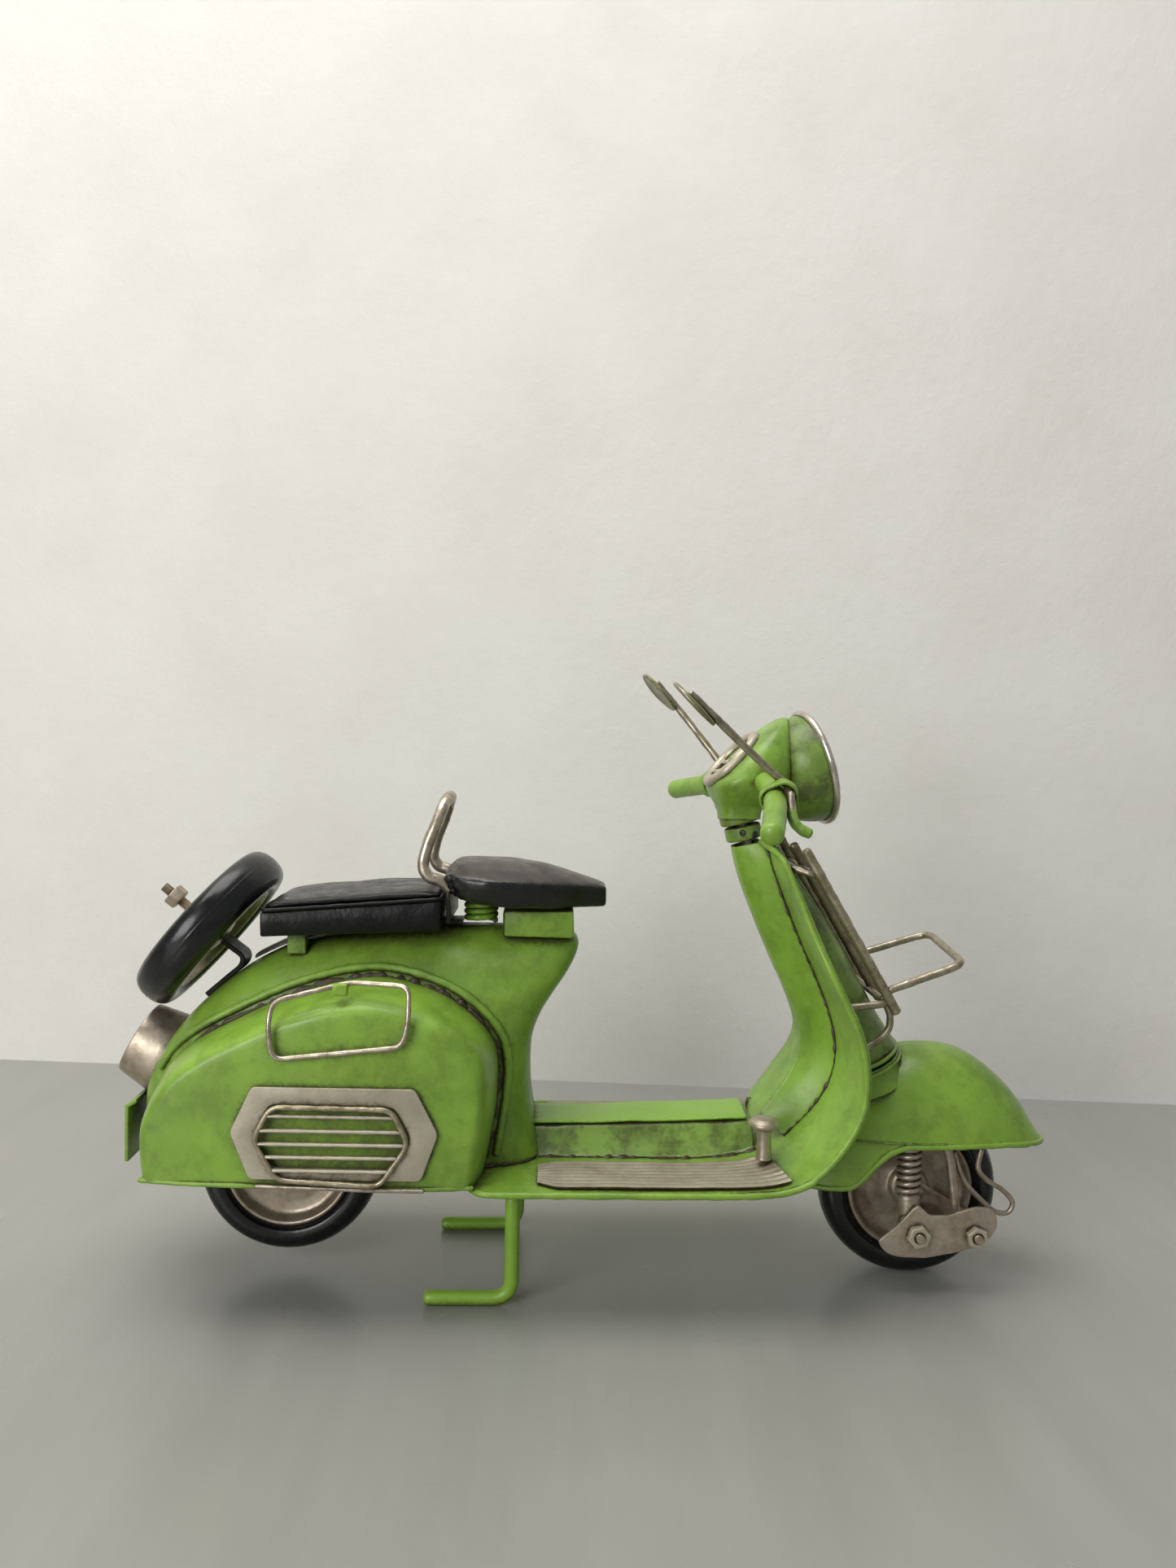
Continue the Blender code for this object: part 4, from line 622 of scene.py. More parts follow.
# ---- rear body ----------------------------------------------------------------
BODY_LEVELS = [
    (36.3, -121.0, -12.8, 21.8), (42.0, -121.6, -14.5, 22.0), (50.0, -122.2, -16.0, 22.0),
    (57.0, -121.2, -16.5, 21.7), (63.0, -118.4, -16.5, 21.2), (69.0, -114.4, -15.8, 20.5),
    (75.0, -109.5, -13.6, 19.6), (80.5, -103.8, -10.4, 18.2), (85.5, -97.4, -7.0, 16.2),
    (89.5, -90.4, -4.8, 14.0), (92.5, -83.6, -3.7, 11.8), (94.8, -75.0, -3.6, 9.6),
    (96.6, -65.0, -5.4, 7.2), (97.8, -54.0, -11.0, 4.8), (98.5, -43.0, -22.0, 2.4),
]
BODY_POWER = 4.0
FINE_LEVELS = [tuple(row) for row in dense(BODY_LEVELS, 4)]


def body_half(x, z):
    rear, front, half = table_value(BODY_LEVELS, z)
    reach = abs(x - (rear + front) / 2.0) / ((front - rear) / 2.0)
    return half * max(0.0, 1.0 - min(reach, 1.0) ** BODY_POWER) ** (1.0 / BODY_POWER)


def body_point(z, angle):
    rear, front, half = table_value(FINE_LEVELS, z)
    c, s = oval(angle, BODY_POWER)
    return (rear + front) / 2.0 + (front - rear) / 2.0 * c, half * s, z


def make_body():
    rows = [[body_point(level[0], i * math.tau / 120) for i in range(120)] for level in FINE_LEVELS]
    shell = sheet_metal(hammered(skin("body_skin", rows, GREEN, ring=True, caps="last"), 0.25, 16.0), 0.9)
    keep(shell, "chassis", "green_enamel", "body_shell")
    ridge = dense([(-93.6, 88.4), (-84.6, 92.7), (-73.5, 95.8), (-62.3, 97.6), (-51.0, 98.6), (-36.0, 99.0)], 4)
    section = ((-4.5, 0.3), (-4.3, 1.1), (-3.0, 1.4), (3.0, 1.4), (4.3, 1.1), (4.5, 0.3))
    rows = [[(x, y, z + lift) for y, lift in section] for x, z in ridge]
    # black ridge strip: painted shadow of the pillion and spare wheel on the body's top, with the dirt there
    keep(skin("ridge_strip_skin", rows, BLACK, ring=True, caps="first last"), "chassis", "black_paint", "ridge_strip")


# ---- side cowls ---------------------------------------------------------------
COWL_RIM = [(-116.6, 38.0), (-117.4, 45.0), (-117.0, 52.5), (-112.8, 61.5), (-109.0, 66.4),
            (-101.8, 71.6), (-92.2, 76.6), (-83.4, 80.6), (-73.6, 83.9), (-64.6, 85.9),
            (-55.8, 86.4), (-46.4, 84.6), (-37.8, 81.4), (-31.0, 76.6), (-26.4, 70.8),
            (-24.8, 64.6), (-25.0, 56.0), (-26.2, 47.0), (-28.0, 36.3)]
COWL_FOOT = (-71.0, 37.1)
COWL_BULGE = [(1.0, 0.0), (0.986, 0.34), (0.968, 0.62), (0.945, 0.82), (0.915, 0.925),
              (0.86, 0.965), (0.65, 0.985), (0.35, 0.997), (0.0, 1.0)]
COWL_OUT, COWL_LIP = 38.3, 0.85          # how far out its face and its rim stand
COWL_TAIL, TAIL_FLARE = -100.0, 0.08     # behind this x the rim leaves the body by this slope
MOULDING_OUT, MOULDING_R = 2.3, 1.35


def cowl_edge(x, z, side):
    return side * (body_half(x, z) + COWL_LIP + max(0.0, COWL_TAIL - x) * TAIL_FLARE)


def make_cowl(side, word):
    rim = dense(COWL_RIM, 5)
    bulges = dense(COWL_BULGE, 4)
    rows = []
    for share, bulge in bulges:
        row = []
        for x, z in rim:
            edge = cowl_edge(x, z, side)
            row.append((COWL_FOOT[0] + (x - COWL_FOOT[0]) * share,
                        edge + (side * COWL_OUT - edge) * min(bulge, 1.0),
                        COWL_FOOT[1] + (z - COWL_FOOT[1]) * share))
        rows.append(row)
    cowl = skin("side_cowl_%s_skin" % word, rows, GREEN, flip=side == RIGHT, angle=60.0)
    cowl = sheet_metal(hammered(cowl, 0.30, 20.0), 0.8)
    keep(cowl, "chassis", "green_enamel", "side_cowl_" + word)
    # moulding on the body round the cowl
    path = [(x, side * (body_half(x, z) + 0.1), z) for x, z in offset_line(rim[14:-2], MOULDING_OUT)]
    path = [p for p in path if abs(p[1]) > 9.0 or p[0] < COWL_TAIL]
    keep(tube("cowl_bead_" + word, path, MOULDING_R, GREEN, sides=14, lumps=0.2, flat=0.9),
         "chassis", "green_enamel")
    hem = [(-114.4, side * 36.3, 37.95), (-100.0, side * 38.25, 37.75), (-71.0, side * 38.35, 37.2),
           (-44.0, side * 38.3, 36.75), (-30.2, side * 36.6, 36.6)]
    keep(tube("cowl_hem_" + word, dense(hem, 8), 0.62, GREEN, sides=10, lumps=0.3), "chassis", "green_enamel")


def offset_line(points, distance):
    """A flat (x, z) line moved outwards, to the left of its run from the tail."""
    run = np.gradient(np.array(points), axis=0)
    run /= np.linalg.norm(run, axis=1)[:, None]
    return np.array(points) + np.column_stack((-run[:, 1], run[:, 0])) * distance


# ---- louvre and guards --------------------------------------------------------
GRILLE_PLATE = [(-90.9, 51.4), (-85.6, 63.0), (-44.6, 62.7), (-38.8, 51.1), (-43.0, 39.2), (-86.2, 39.5)]
GRILLE_WINDOW = [(-85.4, 50.4), (-81.2, 58.6), (-50.0, 58.2), (-45.4, 50.2), (-50.0, 42.2), (-80.4, 42.4)]
GRILLE_RING = [(-84.9, 50.0), (-80.6, 58.3), (-50.4, 57.8), (-46.1, 49.0), (-53.4, 38.2), (-79.0, 39.8)]
SLATS = [(56.0, -81.2, -50.0), (52.3, -83.0, -48.0), (48.9, -83.6, -47.2), (45.6, -81.6, -49.2), (42.2, -80.0, -51.2)]
PLATE_Y, PLATE_THICK = -39.1, 0.9
RING_R, SLAT_R = 0.68, 0.62
SLAT_STEPS, SLAT_DROP = 24, 0.25


def make_grille():
    outline = rounded(GRILLE_PLATE, 1.2, 4, True)
    face = plate("grille_plate_skin", outline, PLATE_THICK, upright(PLATE_Y), SILVER_PALE,
                 [rounded(GRILLE_WINDOW, 2.0, 4, True)], 0.22)
    keep(hammered(face, 0.25, 4.0), "chassis", "silver_paint", "grille_plate")
    ring_y = PLATE_Y - 1.45
    bars = []
    for i, (z, left, right) in enumerate(SLATS):
        shares = [k / SLAT_STEPS for k in range(SLAT_STEPS + 1)]
        path = [(left + (right - left) * share, ring_y + 0.15, z - SLAT_DROP * share) for share in shares]
        bars.append(tube("slat_%d" % i, path, SLAT_R, SILVER_PALE, lumps=0.25, sides=10, flat=0.85))
    loop = bent([(x, ring_y, z) for x, z in GRILLE_RING], 2.8, 6, True, 1.0)
    ring = tube("grille_louvre_skin", loop, RING_R, RACK_WIRE, cyclic=True, lumps=0.22)
    keep(ring, "chassis", "silver_paint", "grille_louvre")
    keep(fused(*bars), "chassis", "silver_paint")
    sill = dense([(-84.4, -39.0, 37.6), (-70.0, -39.2, 37.3), (-55.0, -39.3, 36.9), (-42.5, -39.0, 36.6)], 6)
    keep(tube("cowl_sill_wire", sill, 0.6, WIRE, lumps=0.2, sides=10), "chassis", "bright_wire")


GUARD_LOOP = [(-81.0, -37.6, 84.2), (-81.6, -39.5, 78.0), (-80.4, -39.6, 70.0), (-48.2, -39.6, 73.4),
              (-46.6, -39.5, 79.0), (-46.9, -36.2, 88.2), (-62.0, -34.2, 88.6)]


def make_guard(side, word):
    loop = [(x, y * -side, z) for x, y, z in GUARD_LOOP]
    wire = tube("cowl_guard_%s_skin" % word, bent(loop, 2.8, 6, True, 1.0), 0.7, WIRE, cyclic=True, lumps=0.18)
    keep(wire, "chassis", "bright_wire", "cowl_guard_" + word)
    near, far = sorted((34.0 * side, 36.6 * side))
    clip = block("guard_clip_" + word, (-66.2, near, 85.6), (-62.4, far, 88.6), GREEN, 0.5, 2)
    keep(hammered(clip, 0.3, 2.0), "chassis", "green_enamel")


# ---- tail ---------------------------------------------------------------------
TAIL_CENTRE = (-119.4, 0.0, 61.2)
TAIL_OUT = (-math.cos(math.radians(28.0)), 0.0, math.sin(math.radians(28.0)))


def make_tail():
    profile = rounded([(0.0, 7.2), (8.9, 7.2), (9.3, 8.5), (10.2, 8.5), (10.5, 6.6), (11.5, 0.0), (11.7, -5.6),
                       (10.8, -5.6), (10.6, 0.0), (9.6, 6.2), (0.0, 6.2)], 0.5, 3)
    can = turned("tail_lamp_skin", profile, TAIL_CENTRE, TAIL_OUT, SILVER_BROWN, 72, dent=0.15)
    keep(can, "chassis", "silver_paint", "tail_lamp")
    keep(polished("number_plate", GREEN, 0.3), "chassis", "green_enamel", "number_plate")


# ---- wheels -------------------------------------------------------------------
TYRE_PROFILE = [(18.3, 4.5), (19.1, 5.5), (20.4, 5.85), (21.6, 5.8), (22.9, 5.4), (24.0, 4.5), (24.8, 3.1),
                (25.2, 1.5), (25.25, 0.35), (25.38, 0.0)]


def make_tyre(name, centre, direction, body, node):
    outer = dense(TYRE_PROFILE[:-1], 3).tolist() + [TYRE_PROFILE[-1]]
    full = outer + [(r, -h) for r, h in reversed(outer[:-1])] + [(17.9, -4.2), (17.9, 4.2)]
    keep(turned(name, full, centre, direction, RUBBER, 128, closed=True, angle=50.0), body, "black_rubber", node)


def make_rim(name, centre, direction, bore, body, node, paint):
    face = [(bore, 4.5), (2.6, 4.6), (4.6, 4.2), (5.3, 3.6), (6.0, 2.7), (8.0, 2.25), (12.0, 2.05), (14.6, 2.3),
            (15.7, 3.0), (16.2, 4.2), (16.8, 5.0), (17.5, 5.1), (17.95, 4.5)]
    full = face + [(r, -h) for r, h in reversed(face)]
    made = turned(name, rounded(full, 0.5, 2, True), centre, direction, paint, 96, closed=True, angle=45.0)
    keep(made, body, "silver_paint", node)


def screw_thread(tip, top, foot, crest, root, pitch):
    """The profile of a threaded end, from its tip down, and the height where it stops."""
    profile, height = [(0.0, tip)], top
    while height > foot:
        profile += [(crest, height), (root, height - pitch / 2.0)]
        height -= pitch
    return profile, height


ACROSS = (0.0, -1.0, 0.0)
REAR_HUB, FRONT_HUB, SPARE_HUB = (-84.0, 0.0, 30.9), (92.2, 0.0, 25.3), (-106.9, 0.0, 96.7)
SPARE_LEAN = math.radians(40.0)


def make_wheels():
    make_tyre("rear_tyre_skin", REAR_HUB, ACROSS, "rear_wheel", "rear_tyre")
    make_rim("rear_rim_skin", REAR_HUB, ACROSS, 1.85, "rear_wheel", "rear_rim", SILVER_BROWN)
    make_tyre("front_tyre_skin", FRONT_HUB, ACROSS, "front_wheel", "front_tyre")
    make_rim("front_rim_skin", FRONT_HUB, ACROSS, 1.85, "front_wheel", "front_rim", SILVER_BROWN)
    axle = turned("rear_axle_skin", rounded([(0.0, 11.9), (2.2, 11.8), (2.9, 11.0), (3.0, 10.6), (1.5, 10.5),
                                             (1.5, -10.5), (3.0, -10.6), (2.9, -11.0), (2.2, -11.8), (0.0, -11.9)],
                                            0.3, 2), REAR_HUB, ACROSS, WIRE, 40)
    keep(axle, "chassis", "bright_wire", "rear_axle")
    keep(polished("rear_axle_bracket", BLACK, 0.2), "chassis", "black_paint", "rear_axle_bracket")
    out = (-math.cos(SPARE_LEAN), 0.0, math.sin(SPARE_LEAN))
    make_tyre("spare_tyre_skin", SPARE_HUB, out, "chassis", "spare_tyre")
    make_rim("spare_rim_skin", SPARE_HUB, out, 1.5, "chassis", "spare_rim", SILVER_BROWN)
    thread, height = screw_thread(17.6, 17.4, 3.0, 1.42, 1.22, 0.44)
    shank = [(1.45, height), (1.45, -4.2), (0.0, -4.2)]
    bolt = turned("spare_bolt_skin", thread + shank, SPARE_HUB, out, WIRE, 40)
    nut = plate("spare_nut", hexagon(0.0, 0.0, 5.5), 3.2, place(SPARE_HUB, out)
                @ Matrix.Translation((0.0, 0.0, 13.0 * MM)), SILVER_BROWN, edge=0.35)
    keep(bolt, "chassis", "bright_wire", "spare_bolt")
    keep(hammered(nut, 0.2, 2.0), "chassis", "silver_paint")
    path = dense([(-103.1, 93.5), (-100.2, 91.3), (-97.5, 89.0), (-97.9, 86.4), (-101.0, 83.6), (-107.2, 78.2)], 8)
    run = np.gradient(path, axis=0)
    run /= np.linalg.norm(run, axis=1)[:, None]
    section = ((-4.0, 0.4), (-3.7, 0.7), (3.7, 0.7), (4.0, 0.4), (4.0, -0.4), (3.7, -0.7), (-3.7, -0.7), (-4.0, -0.4))
    rows = [[(x - r[1] * t, y, z + r[0] * t) for y, t in section] for (x, z), r in zip(path, run)]
    strap = skin("spare_bracket_skin", rows, BLACK, ring=True, caps="first last")
    keep(strap, "chassis", "black_paint", "spare_bracket")


# ---- seats --------------------------------------------------------------------
PILLION = (-88.8, -41.0, 18.8)


def inflated(made, pressure, cap, voxel, frames=8):
    """Swell a closed shell as a stuffed cushion does, by at most cap, and keep the result."""
    remesh = made.modifiers.new("voxels", "REMESH")
    remesh.mode = "VOXEL"
    remesh.voxel_size = voxel * MM
    applied(made)
    start = np.array([v.co for v in made.data.vertices])
    cloth = made.modifiers.new("cloth", "CLOTH")
    cloth.settings.use_pressure = True
    cloth.settings.uniform_pressure_force = pressure
    cloth.settings.mass = 0.05
    cloth.settings.tension_stiffness = 25.0
    cloth.settings.compression_stiffness = 25.0
    cloth.settings.effector_weights.gravity = 0.0
    cloth.point_cache.frame_end = frames
    for step in range(1, frames + 1):
        SCENE.frame_set(step)
    applied(made)
    SCENE.frame_set(1)
    now = np.array([v.co for v in made.data.vertices])
    move = now - start
    length = np.linalg.norm(move, axis=1)
    move *= np.minimum(1.0, cap * MM / np.maximum(length, 1e-9))[:, None]
    made.data.vertices.foreach_set("co", (start + move).ravel())
    made.data.update()
    relax = made.modifiers.new("relax", "SMOOTH")
    relax.iterations = 4
    relax.factor = 0.5
    applied(made)
    finer = made.modifiers.new("finer", "SUBSURF")
    finer.levels = finer.render_levels = 1
    applied(made)
    return made


def cushion_rows(stations, power, sides=40):
    """Rounded sections at (x, underside, top, half width) stations."""
    rows = []
    for x, low, high, half in stations:
        middle, reach = (low + high) / 2.0, (high - low) / 2.0
        rows.append([(x, half * c, middle + reach * s)
                     for c, s in (oval((i + 0.5) * math.tau / sides, power) for i in range(sides))])
    return rows


# x, top edge height, underside height, half width, crown over the middle
SADDLE = [(-40.6, 113.4, 110.6, 12.5, 0.3), (-39.8, 113.9, 109.6, 15.2, 1.4), (-37.6, 113.9, 108.2, 17.6, 3.0),
          (-33.0, 113.6, 106.7, 19.4, 3.9), (-26.0, 113.0, 105.8, 20.2, 4.4), (-18.0, 112.4, 105.2, 18.7, 4.4),
          (-10.0, 111.7, 104.9, 14.8, 3.4), (-3.0, 110.9, 104.6, 9.6, 1.9), (2.0, 110.4, 104.3, 6.6, 0.8),
          (4.2, 110.2, 104.2, 5.6, 0.3)]


def make_saddle():
    rows = []
    for x, edge, low, half, crown in dense(SADDLE, 5):
        row = []
        for k in range(15):                     # over the top, from the right edge
            s = k / 7.0 - 1.0
            row.append((x, half * s, edge + crown * (1.0 - abs(s) ** 2.3)))
        for k in range(4):
            row.append((x, half * (1.0 - 0.035 * k), edge - (edge - low) * (k + 1) / 4.0))
        for k in range(1, 8):
            s = 1.0 - k / 4.0
            row.append((x, half * 0.88 * s, low))
        for k in range(4):
            row.append((x, -half * (1.0 - 0.035 * (3 - k)), low + (edge - low) * k / 4.0))
        rows.append(row)
    seat = skin("saddle_cushion", rows, SEAT, ring=True, caps="first last")
    inflated(seat, 2.0, 0.5, 1.0)
    mesh = seat.data
    normals = [v.normal.copy() for v in mesh.vertices]
    for vertex, normal in zip(mesh.vertices, normals):      # the ragged rear edge of the casting
        x, y, z = vertex.co / MM
        rough = max(0.0, min(1.0, (-34.0 - x) / 5.0)) * (1.0 if z < 114.0 else 0.4)
        vertex.co += normal * MM * (0.8 * rough * noise.noise(vertex.co / (1.3 * MM))
                                    + 0.3 * noise.noise(vertex.co / (7.0 * MM)))
    mesh.update()
    keep(seat, "chassis", "black_seat", "saddle")
    mount = hammered(polished("saddle_bracket", GREEN_NECK, 1.3), 0.35, 5.0)
    keep(mount, "chassis", "green_enamel", "saddle_bracket")
    helix = coil(-31.0, -1.5, 99.9, 4.0, 3, 28, 1.72)
    # the spring's bright, clean enamel is painted light against the saddle's shade
    keep(tube("saddle_spring_skin", helix, 0.84, GREEN_CLEAN_AND_LIT, lumps=0.2), "chassis", "green_enamel", "saddle_spring")
    half = [(-39.1, -13.0, 110.2), (-41.6, -13.3, 112.3), (-44.6, -13.5, 113.4), (-46.2, -13.3, 116.4),
            (-45.2, -13.0, 121.6), (-42.8, -11.8, 128.0), (-41.2, -8.4, 132.8), (-40.5, -3.6, 134.4)]
    whole = dense(half + [(x, -y, z) for x, y, z in reversed(half)], 6)
    handle = tube("grab_handle_skin", whole, 1.65, WIRE, sides=24, lumps=0.06)
    foot = block("grab_handle_foot", (-39.8, -14.4, 100.8), (-38.8, 14.4, 110.6), BLACK, 0.3)
    keep(handle, "chassis", "bright_wire", "grab_handle")
    keep(foot, "chassis", "black_paint")


def make_pillion():
    rear, front, half = PILLION
    rows = []
    for k in range(25):
        share = k / 24.0
        x = rear + (front - rear) * share
        low, high = 97.2 + 2.2 * share, 103.8 + 3.8 * share
        sag = 0.25 * math.sin(share * math.pi)
        middle = (low + high) / 2.0
        section = ((-half + 0.4, low), (-half, low + 0.5), (-half - 0.15, middle - sag), (-half, high - 0.5),
                   (-half + 0.4, high), (half - 0.4, high), (half, high - 0.5), (half + 0.15, middle),
                   (half, low + 0.5), (half - 0.4, low))
        rows.append([(x, y, z) for y, z in section])
    base = skin("pillion_base_skin", rows, PAD, ring=True, caps="first last", angle=30.0)
    base = applied(soften(base, 0.45, 40.0, 3))
    keep(hammered(base, 0.2, 8.0), "chassis", "black_seat", "pillion_base")
    post = block("pillion_post", (-83.0, -12.5, 91.6), (-78.0, -8.5, 98.0), GREEN_DIRTY, 0.4)
    keep(post, "chassis", "green_enamel")
    stations = []
    for share, inset, crown in [(0.0, 1.6, 1.3), (0.03, 0.7, 2.1), (0.15, 0.3, 2.7), (0.5, 0.2, 2.9), (0.85, 0.3, 2.7),
                                (0.97, 0.8, 2.1), (1.0, 1.6, 1.3)]:
        x = rear + 0.5 + (front - rear - 0.6) * share
        low = 103.8 + 3.8 * (x - rear) / (front - rear) + 0.25
        stations.append((x, low, low + crown, half - inset))
    pad = skin("pillion_cushion", cushion_rows(dense(stations, 4), 4.0), PAD, ring=True, caps="first last")
    inflated(pad, 2.5, 0.45, 0.9)
    keep(hammered(pad, 0.35, 9.0), "chassis", "black_seat", "pillion_pad")
    # welt round the foot of the pad
    welt = []
    back, nose = rear + 0.2, front - 0.1
    for x, y in rounded([(back, -half), (nose, -half), (nose, half), (back, half)], 1.5, 4, True):
        welt.append((x, y, 103.8 + 3.8 * (x - rear) / (front - rear) + 0.45))
    keep(tube("pillion_welt", bent(welt, 0.6, 2, True, 1.6), 0.5, PAD, cyclic=True, sides=10, lumps=0.3),
         "chassis", "black_seat")


# ---- shield and floor ---------------------------------------------------------
FLOOR_Z, FLOOR_HALF = 35.7, 38.0
SHEET = [
    (46.1, 123.7, 47.4, 123.7, 7.0), (47.2, 120.2, 51.6, 120.2, 14.5), (48.6, 116.4, 53.2, 116.4, 18.2),
    (50.5, 111.8, 54.8, 111.8, 21.2), (54.2, 103.6, 57.2, 103.6, 27.2), (58.0, 95.0, 60.6, 95.0, 32.0),
    (62.0, 86.1, 64.6, 86.1, 34.5), (64.7, 78.8, 68.0, 78.8, 35.7), (66.3, 71.1, 70.2, 71.1, 36.7),
    (66.1, 64.0, 70.7, 64.0, 37.3), (63.7, 57.4, 69.9, 57.4, 37.7), (59.8, 51.4, 67.2, 51.2, FLOOR_HALF),
    (55.2, 45.8, 62.8, 44.8, FLOOR_HALF), (50.8, 41.2, 57.4, 39.6, FLOOR_HALF),
    (45.8, 38.4, 51.2, 37.0, FLOOR_HALF), (39.0, 36.6, 43.6, 36.0, FLOOR_HALF),
    (28.0, FLOOR_Z, 30.0, FLOOR_Z, FLOOR_HALF), (10.0, FLOOR_Z, 10.0, FLOOR_Z, FLOOR_HALF),
    (-8.0, FLOOR_Z, -8.0, FLOOR_Z, FLOOR_HALF), (-22.0, FLOOR_Z, -22.0, FLOOR_Z, FLOOR_HALF),
    (-27.6, FLOOR_Z, -27.0, FLOOR_Z, 37.4), (-31.6, FLOOR_Z, -30.2, FLOOR_Z, 34.4),
]
FINE = 6
FINE_SHEET = dense(SHEET, FINE)


def sheet_row(at):
    at = max(0.0, min(at * FINE, len(FINE_SHEET) - 1.001))
    low = int(at)
    return FINE_SHEET[low] + (FINE_SHEET[low + 1] - FINE_SHEET[low]) * (at - low)


def sheet_point(at, y, lift=0.0):
    """A point of the pressed sheet at y, raised towards the rider by lift."""
    cx, cz, ex, ez, half = sheet_row(at)
    share = min(abs(y) / half, 1.0) ** 2
    a, b = sheet_row(at - 0.1), sheet_row(at + 0.1)
    run = np.array([b[0] - a[0], b[1] - a[1]])
    run /= np.linalg.norm(run)
    return (cx + (ex - cx) * share + lift * run[1], y, cz + (ez - cz) * share - lift * run[0])


COLUMN_ROWS = [(0.0, 6.6, 3.0, 6.6), (1.0, 8.6, 3.0, 7.0), (2.0, 9.5, 3.0, 7.4), (3.0, 10.2, 3.0, 7.6),
               (4.0, 11.0, 3.0, 7.8), (5.0, 11.8, 3.2, 7.9), (6.0, 12.5, 3.4, 7.8), (7.0, 13.6, 4.0, 7.4),
               (8.0, 14.8, 5.4, 7.0), (9.0, 15.4, 7.2, 7.6), (10.0, 15.4, 8.4, 8.2), (11.0, 15.0, 9.0, 8.2),
               (11.7, 14.2, 9.0, 8.0), (12.5, 13.4, 9.0, 7.6)]


def make_sheet():
    rows = []
    columns = 48
    for i in range(len(FINE_SHEET)):
        at = i / FINE
        half = FINE_SHEET[i][4]
        rows.append([sheet_point(at, half * (2.0 * k / columns - 1.0)) for k in range(columns + 1)])
    metal = sheet_metal(hammered(skin("shield_and_floor_skin", rows, GREEN), 0.22, 14.0), 0.9)
    keep(metal, "chassis", "green_enamel", "shield_and_floor")
    edge = [np.array(row[0]) + (0.0, 0.1, 0.0) for row in rows]
    other = [np.array(row[-1]) - (0.0, 0.1, 0.0) for row in rows]
    for label, line in (("right", edge), ("left", other)):
        bead = [p + np.array((-0.45, 0.0, -0.45 if p[2] < 40.0 else 0.0)) for p in line]
        keep(tube("shield_bead_" + label, bead, 0.85, GREEN, sides=12, lumps=0.22), "chassis", "green_enamel")
    rear = [sheet_point(20.95, y, -0.45) for y in np.linspace(-33.8, 33.8, 40)]
    keep(tube("floor_bead_rear", rear, 0.8, GREEN, sides=10, lumps=0.2), "chassis", "green_enamel")


def make_column():
    rows = []
    for at, foot, ridge, depth in dense(COLUMN_ROWS, 5):
        half = [(foot + 0.9, 0.5), (foot, 1.0), ((foot + ridge) / 2.0 + 0.4, depth * 0.62), (ridge + 0.9, depth * 0.93),
                (ridge - 0.4, depth), (0.0, depth + 0.25)]
        section = [(-y, lift) for y, lift in half] + [(y, lift) for y, lift in reversed(half[:-1])]
        rows.append([sheet_point(at, y, lift) for y, lift in dense(section, 4)])
    cover = sheet_metal(hammered(skin("column_cover_skin", rows, GREEN, angle=70.0), 0.2, 9.0), 0.7)
    keep(cover, "chassis", "green_enamel", "column_cover")


RAKE = math.radians(21.4)
HEAD_CENTRE = (42.6, 0.0, 127.0)
DOWN = (math.sin(RAKE), -math.cos(RAKE))
AHEAD = (math.cos(RAKE), math.sin(RAKE))
STEER_UP = (-DOWN[0], 0.0, -DOWN[1])


def axis_point(down, ahead=0.0, y=0.0):
    """A point this far down the steering axis and this far ahead of it."""
    return (HEAD_CENTRE[0] + down * DOWN[0] + ahead * AHEAD[0], y,
            HEAD_CENTRE[2] + down * DOWN[1] + ahead * AHEAD[1])


def along_axis(x, z):
    return (x - HEAD_CENTRE[0]) * DOWN[0] + (z - HEAD_CENTRE[2]) * DOWN[1]


HORN_FRONTS = [(6.0, 6.6, 4.6), (21.0, 9.8, 6.2), (36.0, 13.0, 8.2), (56.0, 15.9, 11.6), (68.0, 18.0, 14.0),
               (73.3, 19.7, 15.2)]


def dirt_line(name, path, radius, seed=0.0):
    """Crusted dirt along a seam."""
    keep(tube(name, path, radius, DIRT, sides=7, lumps=1.6, seed=seed), "chassis", "black_paint")


def make_seam_dirt():
    for side, word in ((RIGHT, "right"), (LEFT, "left")):
        rows = dense(COLUMN_ROWS, 12)
        dirt_line("column_seam_" + word,
                  [sheet_point(row[0], side * (row[1] + 0.75), 0.30) for row in rows[6:]], 0.30)
        dirt_line("shield_seam_" + word, [sheet_point(at, side * (sheet_row(at)[4] - 1.15), -0.02)
                                          for at in np.linspace(2.2, 15.6, 260)], 0.22, 4.0)
        dirt_line("tunnel_seam_" + word,
                  [sheet_point(at, side * 11.7, 0.12) for at in np.linspace(18.4, 13.6, 150)], 0.42, 8.0)
        dirt_line("body_seam_" + word, [(x, side * (body_half(x, 37.0) + 0.1), 36.2)
                                        for x in np.linspace(-30.0, -15.2, 60)], 0.40, 2.0)
        rim = dense(COWL_RIM, 14)
        dirt_line("cowl_seam_" + word, [(x, side * (body_half(x, z) + 0.25), z) for x, z in rim[60:-4]],
                  0.75, 6.0)


